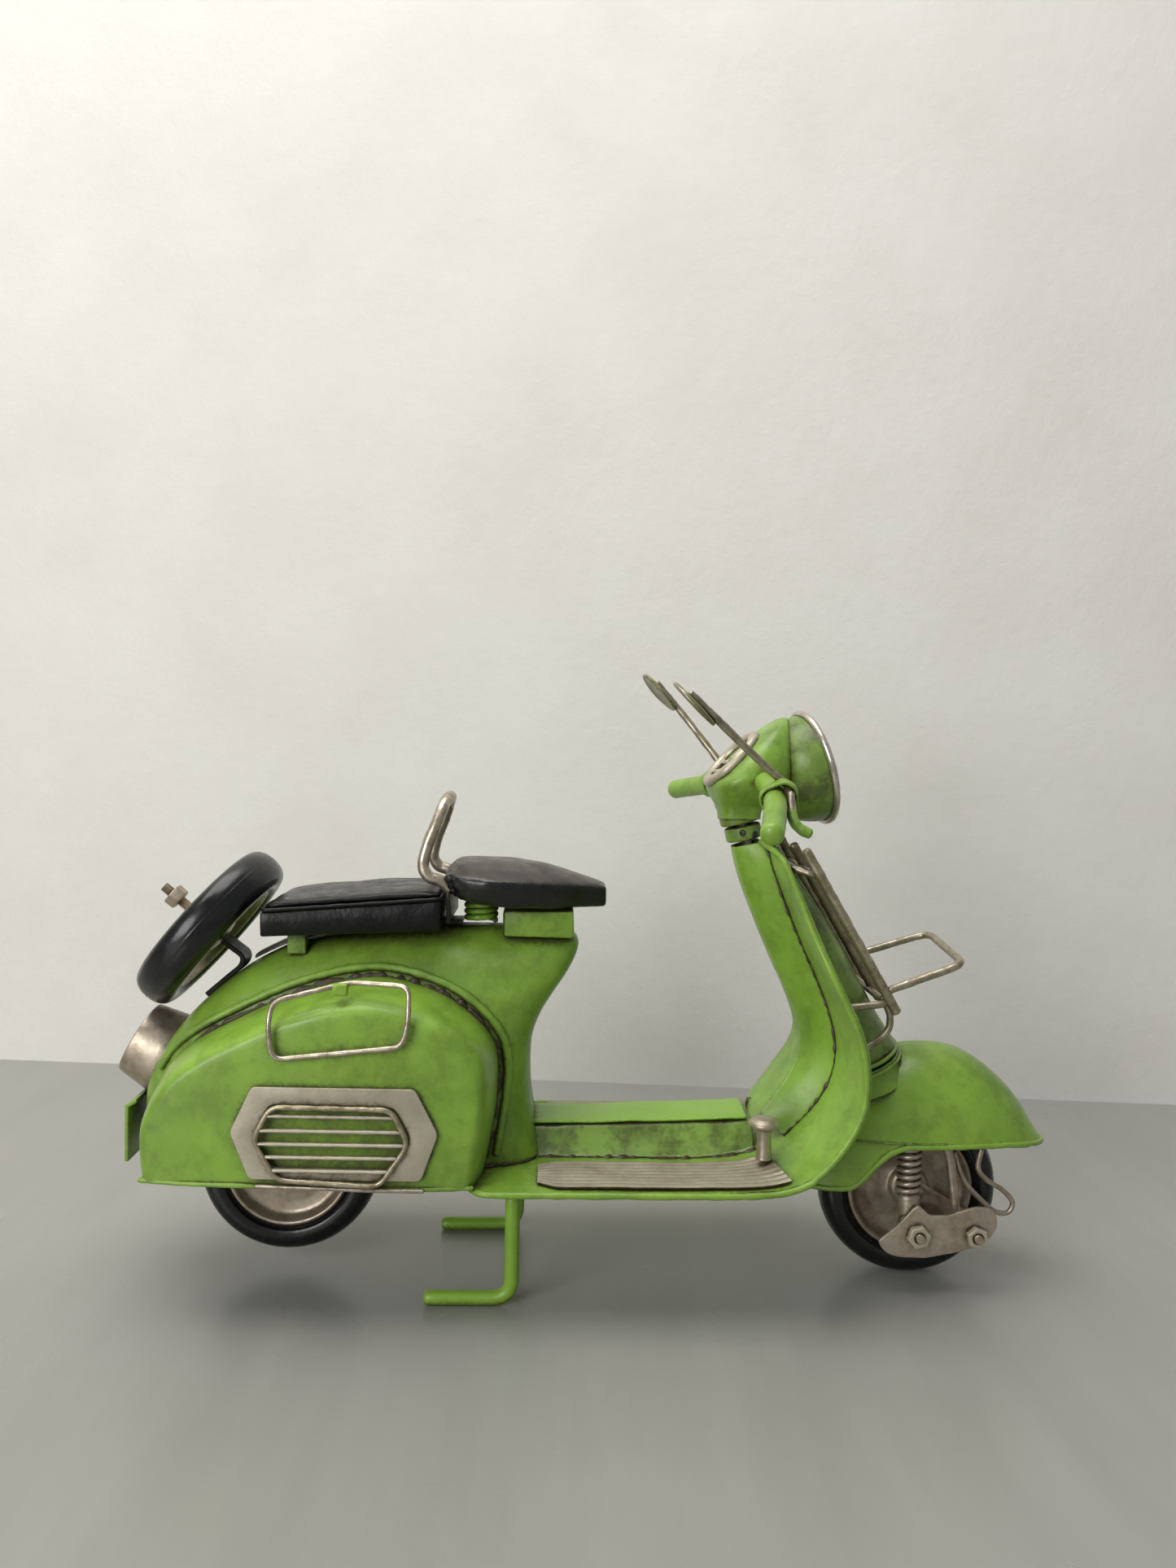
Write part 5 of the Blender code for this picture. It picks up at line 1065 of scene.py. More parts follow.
def make_horn_cover():
    rows = []
    sides = 40
    for i in range(55):
        at = 1.0 + 9.0 * i / 54.0
        cx, cz = sheet_row(at)[:2]
        down = min(along_axis(cx, cz), 73.3)
        reach, half = table_value([tuple(r) for r in dense(HORN_FRONTS, 4)], down)
        back = sheet_point(at, half, -1.1)
        front = axis_point(down, reach)
        row = []
        for k in range(sides + 1):
            c, s = oval(math.pi * (k / sides - 0.5), 2.3)
            row.append((back[0] + (front[0] - back[0]) * c, half * s, back[2] + (front[2] - back[2]) * c))
        rows.append(row)
    cover = sheet_metal(hammered(skin("horn_cover_skin", rows, GREEN_DIRTY, angle=60.0), 0.2, 9.0), 0.8)
    keep(cover, "chassis", "green_enamel", "horn_cover")


# how far along the sheet, half width at the foot and the top, height of the top
TUNNEL_ROWS = [(18.9, 11.0, 7.8, 43.5), (18.0, 11.0, 7.8, 43.7), (17.0, 11.0, 7.8, 44.2), (16.0, 11.0, 7.8, 44.8),
               (15.0, 10.8, 7.8, 45.2), (14.0, 10.6, 7.8, 45.6)]
STRIP_SECTION = [(-8.3, -0.25), (-7.4, 0.0), (-4.0, 0.25), (0.0, 0.35), (4.0, 0.25), (7.4, 0.0), (8.3, -0.25)]


def make_floor_pieces():
    rows, caps = [], []
    for at, foot, top, height in dense(TUNNEL_ROWS, 5):
        low = sheet_point(at, foot, 0.6)
        half = [(-foot - 0.8, low[2] - 0.2), (-foot, low[2] + 0.3), (-top - 0.9, height - 1.6),
                (-top - 0.2, height - 0.5), (-top + 0.8, height)]
        rows.append([(low[0], y, z) for y, z in half + [(-y, z) for y, z in reversed(half)]])
        if at < 18.5:
            caps.append([(low[0] - 1.6, y, height + 1.05 + crown) for y, crown in dense(STRIP_SECTION, 2)])
    tunnel = sheet_metal(hammered(skin("floor_tunnel_skin", rows, GREEN_DIRTY, flip=True), 0.3, 7.0), 0.6)
    keep(tunnel, "chassis", "green_enamel", "floor_tunnel")
    strip = sheet_metal(hammered(skin("tunnel_strip_skin", caps, GREEN_CLEAN_AND_LIT, flip=True), 0.35, 6.0), 0.6)
    keep(strip, "chassis", "green_enamel", "tunnel_strip")


def make_mat(side, word):
    rows = []
    ribs, fine = 8, 6
    inner, outer = 17.4, 35.4
    places = np.concatenate((np.linspace(18.36, 18.0, 6), np.linspace(17.9, 13.7, 44)))
    for at in places:
        trim = 3.0 * max(0.0, min(1.0, (at - 18.05) / 0.3))
        row = []
        for k in range(ribs * fine + 1):
            share = k / (ribs * fine)
            wave = 0.5 - 0.5 * math.cos(share * ribs * math.tau)
            y = inner + trim + (outer - inner - 2.0 * trim) * share
            row.append(sheet_point(at, side * y, 1.0 + 0.42 * wave ** 0.7))
        rows.append(row)
    mat = skin("floor_mat_%s_skin" % word, rows, MAT, flip=side == LEFT, angle=60.0)
    keep(sheet_metal(hammered(mat, 0.22, 9.0), 0.55, 0.0), "chassis", "silver_paint", "floor_mat_" + word)


def make_pedal():
    x, y, z = sheet_point(14.05, -23.6, 2.6)
    profile = rounded([(0.0, 11.3), (2.6, 11.1), (4.1, 10.1), (4.35, 9.2), (3.5, 8.4), (2.1, 7.9), (1.85, 5.0),
                       (2.1, 0.6), (2.3, 0.0), (0.0, 0.0)], 0.4, 3)
    pedal = turned("brake_pedal_skin", profile, (x, y, z), (0.0, 0.0, 1.0), SILVER, 56, dent=0.2)
    keep(pedal, "chassis", "silver_paint", "brake_pedal")


# ---- stand and carrier --------------------------------------------------------
def make_stand():
    half = [(-42.5, -24.0, 2.0), (-20.2, -24.0, 2.0), (-20.2, -24.0, 31.8)]
    whole = half + [(x, -y, z) for x, y, z in reversed(half)]
    rod = tube("centre_stand_skin", bent(whole, 5.5, 10, False, 1.5), 2.0, GREEN_CLEAN_AND_LIT, sides=24, lumps=0.05)
    keep(rod, "stand", "green_enamel", "centre_stand")
    keep(polished("stand_bracket", GREEN, 0.15), "chassis", "green_enamel", "stand_bracket")


RACK_TOP, RACK_LOW = (57.3, 122.2), (82.9, 78.9)


def rack_point(share, back):
    run = np.array((RACK_LOW[0] - RACK_TOP[0], RACK_LOW[1] - RACK_TOP[1]))
    square = np.array((run[1], -run[0])) / np.linalg.norm(run) * back
    return RACK_TOP[0] + run[0] * share + square[0], RACK_TOP[1] + run[1] * share + square[1]


def make_rack():
    rails = []
    for i, y in enumerate((-18.0, 0.0, 18.0)):
        line = [(RACK_TOP[0] + (RACK_LOW[0] - RACK_TOP[0]) * k / 40.0, y,
                 RACK_TOP[1] + (RACK_LOW[1] - RACK_TOP[1]) * k / 40.0) for k in range(41)]
        # the rails behind the near one take the darker wire, which is painted shade
        rails.append(tube("rack_rail_%d" % i, line, 1.42, RAIL_PAINTED_SHADE if i else RACK_WIRE, lumps=0.15, seed=i * 9.0))
    wires = []
    clear = 1.4 + 1.0 + 0.15
    for i, (share, right, left) in enumerate(((0.13, (2.0, -15.5), (0.9, 12.0)), (0.93, (7.0, -17.4), (6.9, 17.4)))):
        x, z = rack_point(share, 1.3)
        path = [sheet_point(*right, -clear), (x, -19.2, z), (x, 19.2, z), sheet_point(*left, -clear)]
        if i == 0:
            path[-1:] = [(x - 3.4, 16.0, z + 3.6), path[-1]]
        wires.append(tube("cross_%d" % i, bent(path, 3.0, 6, False, 1.2), 1.0, MIRROR_WIRE, lumps=0.15))
    x, z = rack_point(0.9, 1.2)
    for i, side in enumerate((RIGHT, LEFT)):
        foot = sheet_point(8.75, 17.5, -clear)
        path = dense([(x, side * 17.0, z), (x + 2.2, side * 17.2, z - 5.4), (x + 0.4, side * 17.4, z - 10.6),
                      (foot[0], side * 17.5, foot[2])], 8)
        wires.append(tube("leg_%d" % i, path, 1.0, MIRROR_WIRE, lumps=0.15))
    keep(rails[0], "chassis", "bright_wire", "rack_frame")
    keep(fused(*rails[1:]), "chassis", "bright_wire")
    keep(fused(*wires), "chassis", "bright_wire")
    arm_x, arm_z = rack_point(0.88, -1.4)
    corner = [(arm_x, -18.0, arm_z), (101.2, -18.0, 92.2), (102.6, 18.0, 94.6), (arm_x + 1.0, 18.0, arm_z + 3.4)]
    loop = tube("rack_loop_skin", bent(corner, 5.0, 8, False, 1.2), 1.08, MIRROR_WIRE, lumps=0.12)
    keep(loop, "chassis", "bright_wire", "rack_loop")


# ---- head ---------------------------------------------------------------------
HEADSET_LEVELS = [(129.5, 35.9, 47.2, 6.2), (132.6, 35.4, 48.0, 6.8), (136.0, 33.9, 52.6, 10.6),
                  (139.2, 33.0, 55.0, 13.0), (142.0, 35.2, 55.4, 13.6), (146.0, 38.8, 55.4, 13.2), (150.0, 42.6, 55.3, 11.6),
                  (153.6, 46.4, 55.2, 9.2), (156.6, 50.4, 55.0, 6.0), (158.4, 53.2, 54.9, 2.6)]
BAR_R = 3.0
BAR_RIGHT = [(35.2, -49.3, 126.5), (39.6, -38.0, 131.4), (43.0, -27.0, 136.2), (44.8, -14.0, 139.6)]
BAR_LEFT = [(44.8, 14.0, 140.0), (42.2, 27.0, 139.8), (39.2, 38.0, 139.2), (35.5, 50.6, 138.2)]
BAR_MIDDLE = (46.4, 0.0, 141.0)
WIRE_R = 1.05
LAMP_CENTRE = (62.4, 0.0, 144.2)
LAMP_OUT = (math.cos(math.radians(15.8)), 0.0, math.sin(math.radians(15.8)))
COLLAR_CENTRE = (42.95, 0.0, 125.75)
NECK_UP = (-math.sin(math.radians(14.0)), 0.0, math.cos(math.radians(14.0)))
HEAD_SPIN = (Matrix.Translation(Vector(HEAD_CENTRE) * MM) @ Matrix.Rotation(math.radians(8.5), 4, Vector(STEER_UP))
             @ Matrix.Translation(-Vector(HEAD_CENTRE) * MM))


def on_head(made, slot, *nodes):
    """A piece of the head is modelled square and turns with the clamped head."""
    settle(made, HEAD_SPIN)
    return keep(made, "steering", slot, *nodes)


def make_headset():
    rows = []
    for z, rear, front, half in dense(HEADSET_LEVELS, 4):
        middle, reach = (rear + front) / 2.0, (front - rear) / 2.0
        rows.append([(middle + reach * c, half * s, z) for c, s in (oval(i * math.tau / 72, 3.0) for i in range(72))])
    shell = skin("headset_skin", rows, GREEN_NECK, ring=True, caps="last")
    work = bmesh.new()
    work.from_mesh(shell.data)
    cut = bmesh.ops.bisect_plane(work, geom=work.verts[:] + work.edges[:] + work.faces[:], dist=1e-7, clear_outer=True,
                                 plane_co=Vector((53.0, 0.0, 142.0)) * MM, plane_no=(0.988, 0.0, -0.154))
    bmesh.ops.contextual_create(work, geom=[e for e in cut["geom_cut"] if isinstance(e, bmesh.types.BMEdge)])
    bmesh.ops.recalc_face_normals(work, faces=work.faces)
    work.to_mesh(shell.data)
    work.free()
    shell = sheet_metal(hammered(shell, 0.25, 9.0), 0.8, 0.12)
    on_head(shell, "green_enamel", "headset")


def make_lamp():
    """Bucket, rim, glass, reflector and bulb, turned about the lamp's axis."""
    lamp = LAMP_CENTRE, LAMP_OUT
    outer = dense([(0.0, -11.6), (4.5, -11.5), (8.0, -11.0), (12.0, -9.0), (14.2, -6.0), (15.3, -2.5),
                   (15.6, 0.0)], 4).tolist()
    inner = [(14.8, 0.0)] + [(r * 0.93, h + 0.9) for r, h in reversed(outer[:-1])]
    bucket = turned("lamp_bucket_skin", outer + inner, *lamp, GREEN_DIRTY, 80, dent=0.35, angle=50.0)
    on_head(bucket, "green_enamel", "lamp_bucket")
    ring = [(15.85 + 0.95 * math.cos(a), 0.95 - 1.0 * math.sin(a)) for a in (i * math.tau / 16 for i in range(16))]
    rim = turned("lamp_rim_skin", ring, *lamp, BRIGHT, 96, closed=True, angle=70.0)
    on_head(rim, "bright_wire", "lamp_rim")
    lens = dense([(0.0, 2.7), (6.0, 2.3), (11.0, 1.2), (14.3, -0.4)], 5).tolist() + [(14.3, -1.4)]
    back = dense([(14.2, -1.4), (11.0, -0.3), (6.0, 0.8), (0.0, 1.2)], 5).tolist()
    on_head(turned("lamp_lens_skin", lens + back, *lamp, GLASS, 80), "lamp_glass", "lamp_lens")
    dish = dense([(14.3, -1.6), (12.5, -4.0), (9.0, -6.4), (4.0, -7.8), (0.0, -8.0)], 4).tolist()
    dish += [(0.0, -8.4), (4.0, -8.2), (9.2, -6.8), (12.8, -4.3), (14.5, -1.6)]
    on_head(turned("lamp_reflector", dish, *lamp, BRIGHT, 64), "bright_wire")
    bulb = rounded([(0.0, -2.6), (1.6, -2.9), (2.2, -4.4), (1.7, -6.2), (1.4, -8.1), (0.0, -8.1)], 0.6, 3)
    on_head(turned("lamp_bulb", bulb, *lamp, SILVER_PALE, 32), "silver_paint")


def make_dial():
    slope = math.radians(46.0)
    face = (-math.sin(slope), 0.0, math.cos(slope))
    matrix = place((40.1, 0.0, 145.6), face) @ Matrix.Diagonal((1.0, 1.13, 1.0, 1.0))
    ring = [(7.8 + 1.6 * math.cos(a), 1.3 - 1.5 * math.sin(a)) for a in (i * math.tau / 14 for i in range(14))]
    rim = turned("dial_skin", ring, (0, 0, 0), (0, 0, 1), SILVER_PALE, 72, closed=True)
    settle(rim, matrix)
    on_head(hammered(rim, 0.25, 4.0), "silver_paint", "dial")
    profile = rounded([(0.0, 0.5), (7.2, 0.5), (7.4, -1.9), (0.0, -1.9)], 0.2, 2)
    plateau = turned("dial_face", profile, (0, 0, 0), (0, 0, 1), GREEN_DIRTY, 64)
    on_head(settle(plateau, matrix), "green_enamel")
    bars = []
    for i, (x, y, dx, dy) in enumerate([(-3.6, -3.0, 0.6, 2.6), (0.2, -4.8, 2.8, 0.6), (0.2, -1.6, 2.8, 0.6),
                                        (3.6, 1.8, 0.6, 2.6), (0.0, 4.4, 2.6, 0.6)]):
        bars.append(block("bar_%d" % i, (x - dx, y - dy, 0.35), (x + dx, y + dy, 2.3), SILVER_PALE, 0.35))
    marks = fused(*bars)
    marks.name = "dial_bars"
    on_head(settle(marks, matrix), "silver_paint")


def make_bars():
    for word, line in (("right", BAR_RIGHT + [BAR_MIDDLE]), ("left", [BAR_MIDDLE] + BAR_LEFT)):
        bar = tube("handlebar_" + word, dense(line, 8), BAR_R, GREEN, sides=28, lumps=0.05)
        on_head(bar, "green_enamel", *(["handlebar"] if word == "right" else []))


def make_controls(word, bar, side, route, disc_centre, disc_axis):
    root, end = (Vector(bar[2]), Vector(bar[1])) if side == RIGHT else (Vector(bar[1]), Vector(bar[2]))
    outwards = (end - root).normalized()
    middle = root + outwards * 2.4
    front = Vector((0.8, 0.0, 0.55))
    front = (front - outwards * front.dot(outwards)).normalized()
    up = outwards.cross(front)
    matrix = Matrix.Translation(middle * MM) @ Matrix((front, up, outwards)).transposed().to_4x4()
    inner, reach = BAR_R + 0.15, 2.6

    def stadium(radius):
        return [(x + radius * math.cos(a), radius * math.sin(a)) for x, start in ((0.0, 0.5), (reach, -0.5))
                for a in (start * math.pi + k * math.pi / 16 for k in range(17))]

    band = plate("band_%s_skin" % word, stadium(inner + 0.75), 2.9, matrix, GREEN, [stadium(inner)], 0.25)
    on_head(hammered(band, 0.3, 2.5), "green_enamel", "band_" + word)
    held = middle + front * (BAR_R + WIRE_R + 0.42)
    rise = up * (0.5 if side == RIGHT else -0.5)
    points = []
    for point in route:
        points += [point] if point else [tuple(held + outwards * 1.9 - rise), tuple(held - outwards * 1.9 + rise)]
    wire = tube("mirror_%s_skin" % word, dense(points, 8), WIRE_R, MIRROR_WIRE, lumps=0.16)
    profile = rounded([(0.0, 0.75), (6.6, 0.7), (7.3, 0.45), (7.5, 0.0), (7.3, -0.45), (6.9, -0.6), (6.5, -0.35),
                       (0.0, -0.35)], 0.25, 2)
    disc = turned("mirror_disc_" + word, profile, disc_centre, disc_axis, MIRROR_DISC, 64, dent=0.35)
    on_head(wire, "bright_wire", "mirror_" + word)
    lever = tube("brake_lever_" + word, dense(points[:3] + [points[4]], 8), WIRE_R + 0.35, GREEN, lumps=0.1)
    on_head(lever, "green_enamel")
    on_head(disc, "bright_wire")


def make_head():
    make_headset()
    make_lamp()
    make_dial()
    make_bars()
    make_controls("right", BAR_RIGHT, RIGHT, [(48.8, -38.0, 126.5), (46.6, -37.0, 127.8), (45.2, -35.2, 130.6), None,
                  (41.8, -29.2, 142.0), (34.1, -31.0, 148.2), (25.6, -33.2, 155.3), (18.3, -34.0, 161.6)],
                  (19.4, -34.0, 159.0), (0.683, -0.239, 0.690))
    make_controls("left", BAR_LEFT, LEFT, [(48.4, 40.0, 131.4), (46.8, 38.6, 133.0), (45.6, 35.8, 137.4), None,
                  (43.4, 27.4, 146.4), (38.1, 31.0, 154.5), (31.5, 34.0, 163.6), (25.0, 34.0, 170.8)],
                  (25.7, 34.0, 168.0), (0.734, -0.07, 0.676))
    make_neck()


def make_neck():
    ring = rounded([(2.7, 1.85), (4.9, 1.85), (5.6, 1.4), (5.6, -1.4), (5.0, -1.85), (2.7, -1.85)], 0.4, 3, True)
    on_head(turned("neck_ring_skin", ring, (41.6, 0.0, 130.05), NECK_UP, GREEN_DIRTY, 64, closed=True, dent=0.15),
            "green_enamel", "neck_ring")
    collar = rounded([(2.7, 2.0), (4.8, 2.0), (5.2, 1.6), (5.2, -1.6), (4.8, -2.0), (2.7, -2.0)], 0.4, 3, True)
    keep(turned("neck_collar_skin", collar, COLLAR_CENTRE, NECK_UP, GREEN_DIRTY, 64, closed=True, dent=0.15),
         "chassis", "green_enamel", "neck_collar")
    for i, (angle, up, size) in enumerate(((-100, 0.2, 0.75), (-60, -0.3, 0.85), (100, 0.0, 0.75))):
        out = Vector((math.cos(math.radians(angle)), math.sin(math.radians(angle)), 0.0))
        at = Vector(COLLAR_CENTRE) + Vector(NECK_UP) * up + out * 5.15
        profile = rounded([(0.0, 0.1), (size * 0.6, 0.1), (size, 0.35), (size + 0.2, 0.0), (0.0, -0.6)], 0.1, 2)
        keep(turned("neck_screw_%d" % i, profile, at, (out.x, out.y, 0.1), BLACK, 24), "chassis", "black_paint")


# ---- fender, fork and link ----------------------------------------------------
FENDER_LEVELS = [(65.5, 91.5, 102.0, 3.5), (64.2, 87.0, 107.0, 7.6), (62.0, 82.0, 111.0, 10.8),
                 (59.0, 76.5, 115.2, 13.4), (55.0, 71.6, 119.4, 15.6), (50.0, 67.6, 123.5, 17.2),
                 (45.0, 64.4, 126.7, 18.0), (41.0, 62.0, 129.2, 18.2), (37.0, 59.6, 131.4, 18.2),
                 (33.0, 57.4, 131.8, 18.0), (28.0, 55.4, 131.8, 17.6)]
FENDER_POWER = 2.5
FINE_FENDER = [tuple(row) for row in dense(FENDER_LEVELS, 5)]
FENDER_HEM = [(-1.0, 27.7), (-0.70, 28.0), (-0.58, 28.6), (-0.52, 30.0), (-0.44, 36.8), (-0.38, 39.0), (-0.26, 40.9),
              (0.35, 41.3), (0.60, 41.2), (0.86, 40.2), (0.95, 39.5), (1.0, 38.9)]


def fender_point(z, angle, grow=0.0):
    rear, front, half = table_value(FINE_FENDER, z)
    c, s = oval(angle, FENDER_POWER)
    return ((rear + front) / 2.0 + ((front - rear) / 2.0 + grow) * c, (half + grow) * s, z)


SEAM_Z, SEAM_REAR, SEAM_LONG = 42.4, 70.0, 28.0
COLLAR_TOP, COLLAR_FOOT, COLLAR_AHEAD = 73.9, 81.0, 8.5       # down and ahead of the steering axis
COLLAR_LONG, COLLAR_WIDE = 11.2, 14.6


def collar_point(down, grow, angle):
    return axis_point(down, COLLAR_AHEAD + (COLLAR_LONG + grow) * math.cos(angle), (COLLAR_WIDE + grow) * math.sin(angle))


def make_fender():
    """The fender with its rolled hem, the seam on each side and the collar above it."""
    sides, steps = 144, 30
    rows = []
    hems = [table_value(FENDER_HEM, oval(i * math.tau / sides, FENDER_POWER)[0])[0] for i in range(sides)]
    crest = FENDER_LEVELS[0][0]
    for step in range(steps + 1):
        share = (step / steps) ** 1.35
        rows.append([fender_point(crest - (crest - hems[i]) * share, i * math.tau / sides) for i in range(sides)])
    fender = skin("front_fender_skin", rows, GREEN, ring=True, caps="first", angle=60.0)
    fender = sheet_metal(hammered(fender, 0.25, 14.0), 0.8)
    keep(fender, "steering", "green_enamel", "front_fender")
    hem = [np.array(fender_point(hems[i] + 0.5, i * math.tau / sides, -0.25)) for i in range(sides)]
    keep(tube("fender_bead", hem, 0.85, GREEN, cyclic=True, sides=10, lumps=0.22), "steering", "green_enamel")
    for side, word in ((RIGHT, "right"), (LEFT, "left")):
        seam = []
        rear, front, half = table_value(FINE_FENDER, SEAM_Z)
        for k in range(40):
            x = SEAM_REAR + SEAM_LONG * k / 39.0
            c = (x - (rear + front) / 2.0) / ((front - rear) / 2.0)
            seam.append((x, side * half * (1.0 - abs(c) ** FENDER_POWER) ** (1.0 / FENDER_POWER) + side * 0.02, SEAM_Z))
        keep(tube("fender_seam_" + word, seam, 0.28, GREEN_DIRTY, sides=8, lumps=0.3), "steering", "green_enamel")
    around = [k * math.tau / 96 for k in range(96)]
    rows = []
    for down in np.linspace(COLLAR_TOP, COLLAR_FOOT, 12):
        grow = 0.9 * ((down - COLLAR_TOP) / 7.1) ** 2 + 0.35 * math.exp(-((down - 75.0) / 0.8) ** 2)
        rows.append([collar_point(down, grow, a) for a in around])
    collar = sheet_metal(skin("fender_collar", rows, GREEN, ring=True), 0.8)
    keep(collar, "steering", "green_enamel")
    for label, down, grow, body in (("collar_bead", 75.1, 0.35, "steering"), ("horn_lip", 72.6, 0.1, "chassis")):
        loop = [collar_point(down, grow, a) for a in around if body == "steering" or math.cos(a) > -0.35]
        if body == "chassis":
            loop = loop[len(loop) // 2 + 1:] + loop[:len(loop) // 2 + 1]
        keep(tube(label, loop, 0.55, GREEN, cyclic=body == "steering", sides=10, lumps=0.2), body, "green_enamel")


LINK_Y = -16.9
LINK_OUTLINE = [(79.9, 15.1), (80.8, 13.2), (82.9, 11.5), (86.1, 10.7), (92.6, 10.5), (100.7, 11.8),
                (106.6, 13.4), (111.4, 16.5), (113.0, 19.4), (112.4, 22.7), (110.3, 24.5), (107.5, 24.9),
                (103.5, 23.7), (99.5, 22.4), (94.3, 22.1), (91.0, 25.0), (89.6, 24.3), (85.8, 20.1)]
SPRING_X, FORK_Y = 89.3, -12.9
REAR_BOLT, FRONT_BOLT = (90.7, 17.0), (106.8, 16.9)


def make_fork():
    """The leg outside the wheel, its link with two bolts, the spring and the brake cable."""
    leg = bent([(80.0, -6.0, 54.0), (93.0, -12.9, 50.0), (100.4, -12.9, 39.0), (102.8, -12.9, 20.8)], 4.0, 6)
    keep(tube("fork_leg_skin", leg, 1.35, SILVER_BROWN, lumps=0.12), "steering", "silver_paint", "fork_leg")
    link = plate("link_plate_skin", rounded(LINK_OUTLINE, 1.2, 4, True), 1.0, upright(LINK_Y), SILVER,
                 [circle(*REAR_BOLT, 1.5), circle(*FRONT_BOLT, 1.5)], 0.25)
    keep(hammered(link, 0.3, 5.0), "steering", "silver_paint", "link_plate")
    keep(polished("axle_arm", SILVER_BROWN, 0.2), "steering", "silver_paint", "axle_arm")
    for name, (x, z), across, turn in (("link_bolt_rear", REAR_BOLT, 5.6, 12.0),
                                       ("link_bolt_front", FRONT_BOLT, 5.2, 40.0)):
        outside = 0.75 - LINK_Y
        thread, height = screw_thread(outside + 3.3, outside + 3.15, outside + 2.2, 1.2, 1.02, 0.4)
        shank = [(1.2, height), (1.2, 15.6), (2.0, 15.5), (2.0, 8.0), (1.2, 7.9), (1.2, 6.4), (0.0, 6.4)]
        pin = turned(name + "_skin", thread + shank, (x, 0.0, z), ACROSS, SILVER_BROWN, 40)
        nut = plate(name + "_nut", hexagon(0.0, 0.0, across), 2.3, upright(-outside - 1.15, x, z)
                    @ Matrix.Rotation(math.radians(turn), 4, "Z"), SILVER_PALE, [circle(0.0, 0.0, 1.45)], 0.32)
        keep(pin, "steering", "silver_paint", name)
        keep(nut, "steering", "silver_paint")
    keep(polished("front_axle", WIRE, 0.25), "steering", "bright_wire", "front_axle")
    helix = coil(SPRING_X, FORK_Y, 27.0, 2.85, 7, 24, 13.4 / 7)
    spring = tube("front_spring_skin", helix, 0.72, SILVER, sides=12)
    cup = turned("front_spring_cup", rounded([(0.0, 27.5), (2.4, 27.5), (3.2, 26.4), (3.1, 21.4), (0.0, 21.4)], 0.5, 3),
                 (SPRING_X, FORK_Y, 0.0), (0.0, 0.0, 1.0), SILVER_BROWN, 40)
    keep(spring, "steering", "silver_paint", "front_spring")
    keep(cup, "steering", "silver_paint")
    route = [(102.6, 37.6), (105.8, 29.4), (111.6, 23.2), (115.2, 20.6), (118.6, 20.6), (119.6, 23.6),
             (116.6, 27.0), (112.0, 29.8), (109.6, 33.2), (110.4, 38.4)]
    cable = tube("brake_cable_skin", dense([(x, -10.2, z) for x, z in route], 6), 0.72, SILVER_BROWN, lumps=0.12)
    keep(cable, "steering", "silver_paint", "brake_cable")


make_body()
for side_sign, side_word in ((RIGHT, "right"), (LEFT, "left")):
    make_cowl(side_sign, side_word)
    make_guard(side_sign, side_word)
    make_mat(side_sign, side_word)
make_grille()
make_tail()
make_wheels()
make_pillion()
make_saddle()
make_sheet()
make_column()
make_seam_dirt()
make_horn_cover()
make_floor_pieces()
make_pedal()
make_stand()
make_rack()
make_head()
make_fender()
make_fork()
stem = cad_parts["steering_stem"]
stem.data.materials.clear()
stem.data.materials.append(WIRE)


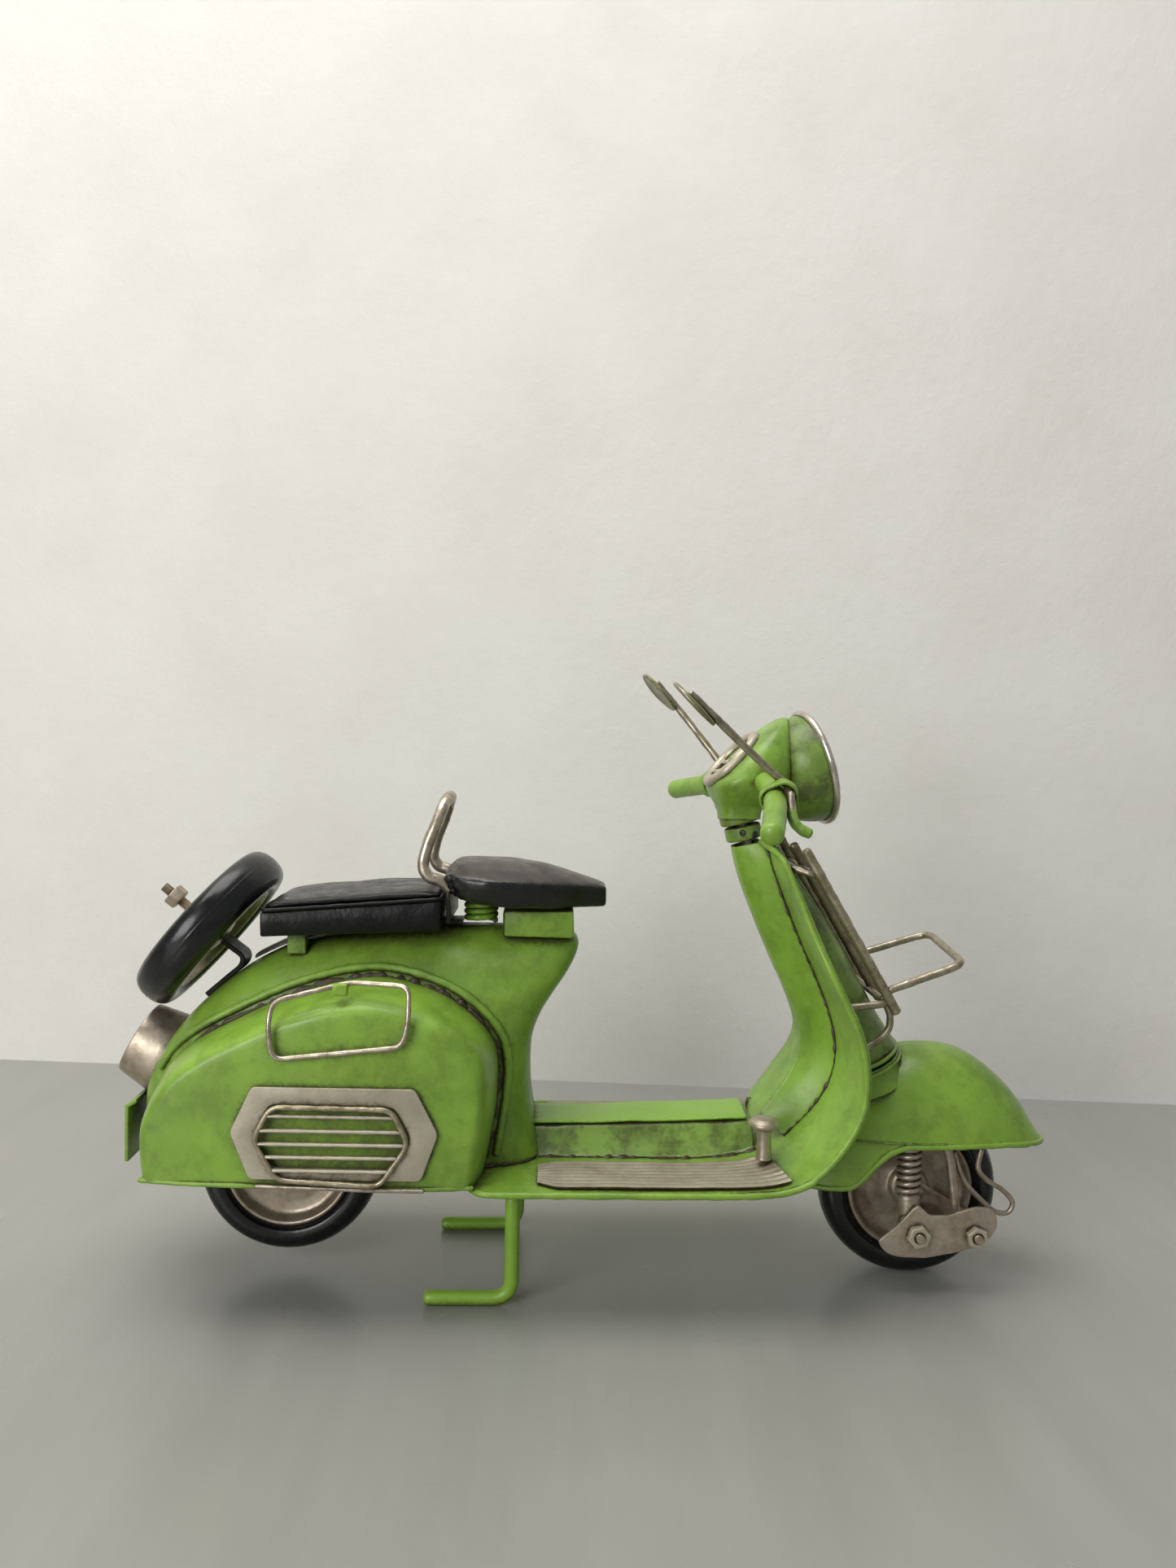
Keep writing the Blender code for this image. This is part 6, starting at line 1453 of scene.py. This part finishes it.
# ---- stage, light and camera --------------------------------------------------
def make_stage():
    ground = Finish("pale_board")
    tone = ground.steps(ground.noise(90.0, 5.0, 0.6, (0.25, 1.6, 1.0)),
                        (0.3, (0.30, 0.298, 0.275)), (0.7, (0.335, 0.332, 0.308)))
    board = ground.done(tone, ground.steps(ground.noise(60.0, 2.0, offset=3.0), (0.3, 0.26), (0.7, 0.32)))
    back = Finish("pale_plaster")
    wash = back.steps(back.noise(60.0, 6.0, 0.6), (0.3, (0.78, 0.765, 0.715)), (0.7, (0.84, 0.83, 0.785)))
    back.bump(back.noise(6.0, 6.0, 0.7), 0.3)
    plaster = back.done(wash, back.steps(back.noise(30.0), (0.2, 0.8), (0.8, 0.95)))
    reach, high = 2400.0, 2200.0
    floor = skin("floor", [[(-reach, 420.0, 0.0), (reach, -60.0, 0.0)], [(-reach, -high, 0.0), (reach, -high, 0.0)]],
                 board, flip=True)
    wall = skin("wall", [[(-reach, 407.4, high), (reach, -45.2, high)], [(-reach, 407.4, -2.0), (reach, -45.2, -2.0)]],
                plaster, flip=True)


def make_light(name, place_at, aim, size, power, colour):
    """A soft square light; places are in metres."""
    lamp = bpy.data.lights.new(name, "AREA")
    lamp.shape = "RECTANGLE"
    lamp.size = lamp.size_y = size
    lamp.energy = power
    lamp.color = colour
    made = bpy.data.objects.new(name, lamp)
    SCENE.collection.objects.link(made)
    made.location = place_at
    made.rotation_euler = (Vector(aim) - Vector(place_at)).to_track_quat("-Z", "Y").to_euler()


def make_camera():
    yaw, pitch, roll = (math.radians(angle) for angle in (1.5, 2.35, 1.0))
    ahead = Vector((math.sin(yaw) * math.cos(pitch), math.cos(yaw) * math.cos(pitch), -math.sin(pitch)))
    level = ahead.cross(Vector((0.0, 0.0, 1.0))).normalized()
    rise = level.cross(ahead)
    right = level * math.cos(roll) + rise * math.sin(roll)
    up = rise * math.cos(roll) - level * math.sin(roll)
    data = bpy.data.cameras.new("camera")
    data.sensor_width = 36.0
    data.lens = 27.03
    data.clip_start = 0.01
    made = bpy.data.objects.new("camera", data)
    SCENE.collection.objects.link(made)
    made.matrix_world = (Matrix.Translation(Vector((-10.2, -333.0, 152.4)) * MM)
                         @ Matrix((right, up, -ahead)).transposed().to_4x4())
    SCENE.camera = made


make_stage()
make_light("overhead", (-0.20, 0.02, 0.85), (0.0, 0.02, 0.05), 0.7, 4.0, (1.0, 0.985, 0.95))
make_light("window", (-0.62, -0.85, 0.40), (-0.02, 0.0, 0.07), 0.55, 5.6, (1.0, 0.99, 0.97))
make_light("wall_wash", (-0.2, -0.05, 1.10), (-0.1, 0.22, 0.40), 0.8, 3.6, (1.0, 0.98, 0.94))
sky = bpy.data.worlds.new("soft_room")
sky.use_nodes = True
sky.node_tree.nodes["Background"].inputs["Color"].default_value = (0.95, 0.97, 1.0, 1.0)
sky.node_tree.nodes["Background"].inputs["Strength"].default_value = 0.30
SCENE.world = sky
SCENE.view_settings.view_transform = "Standard"
make_camera()
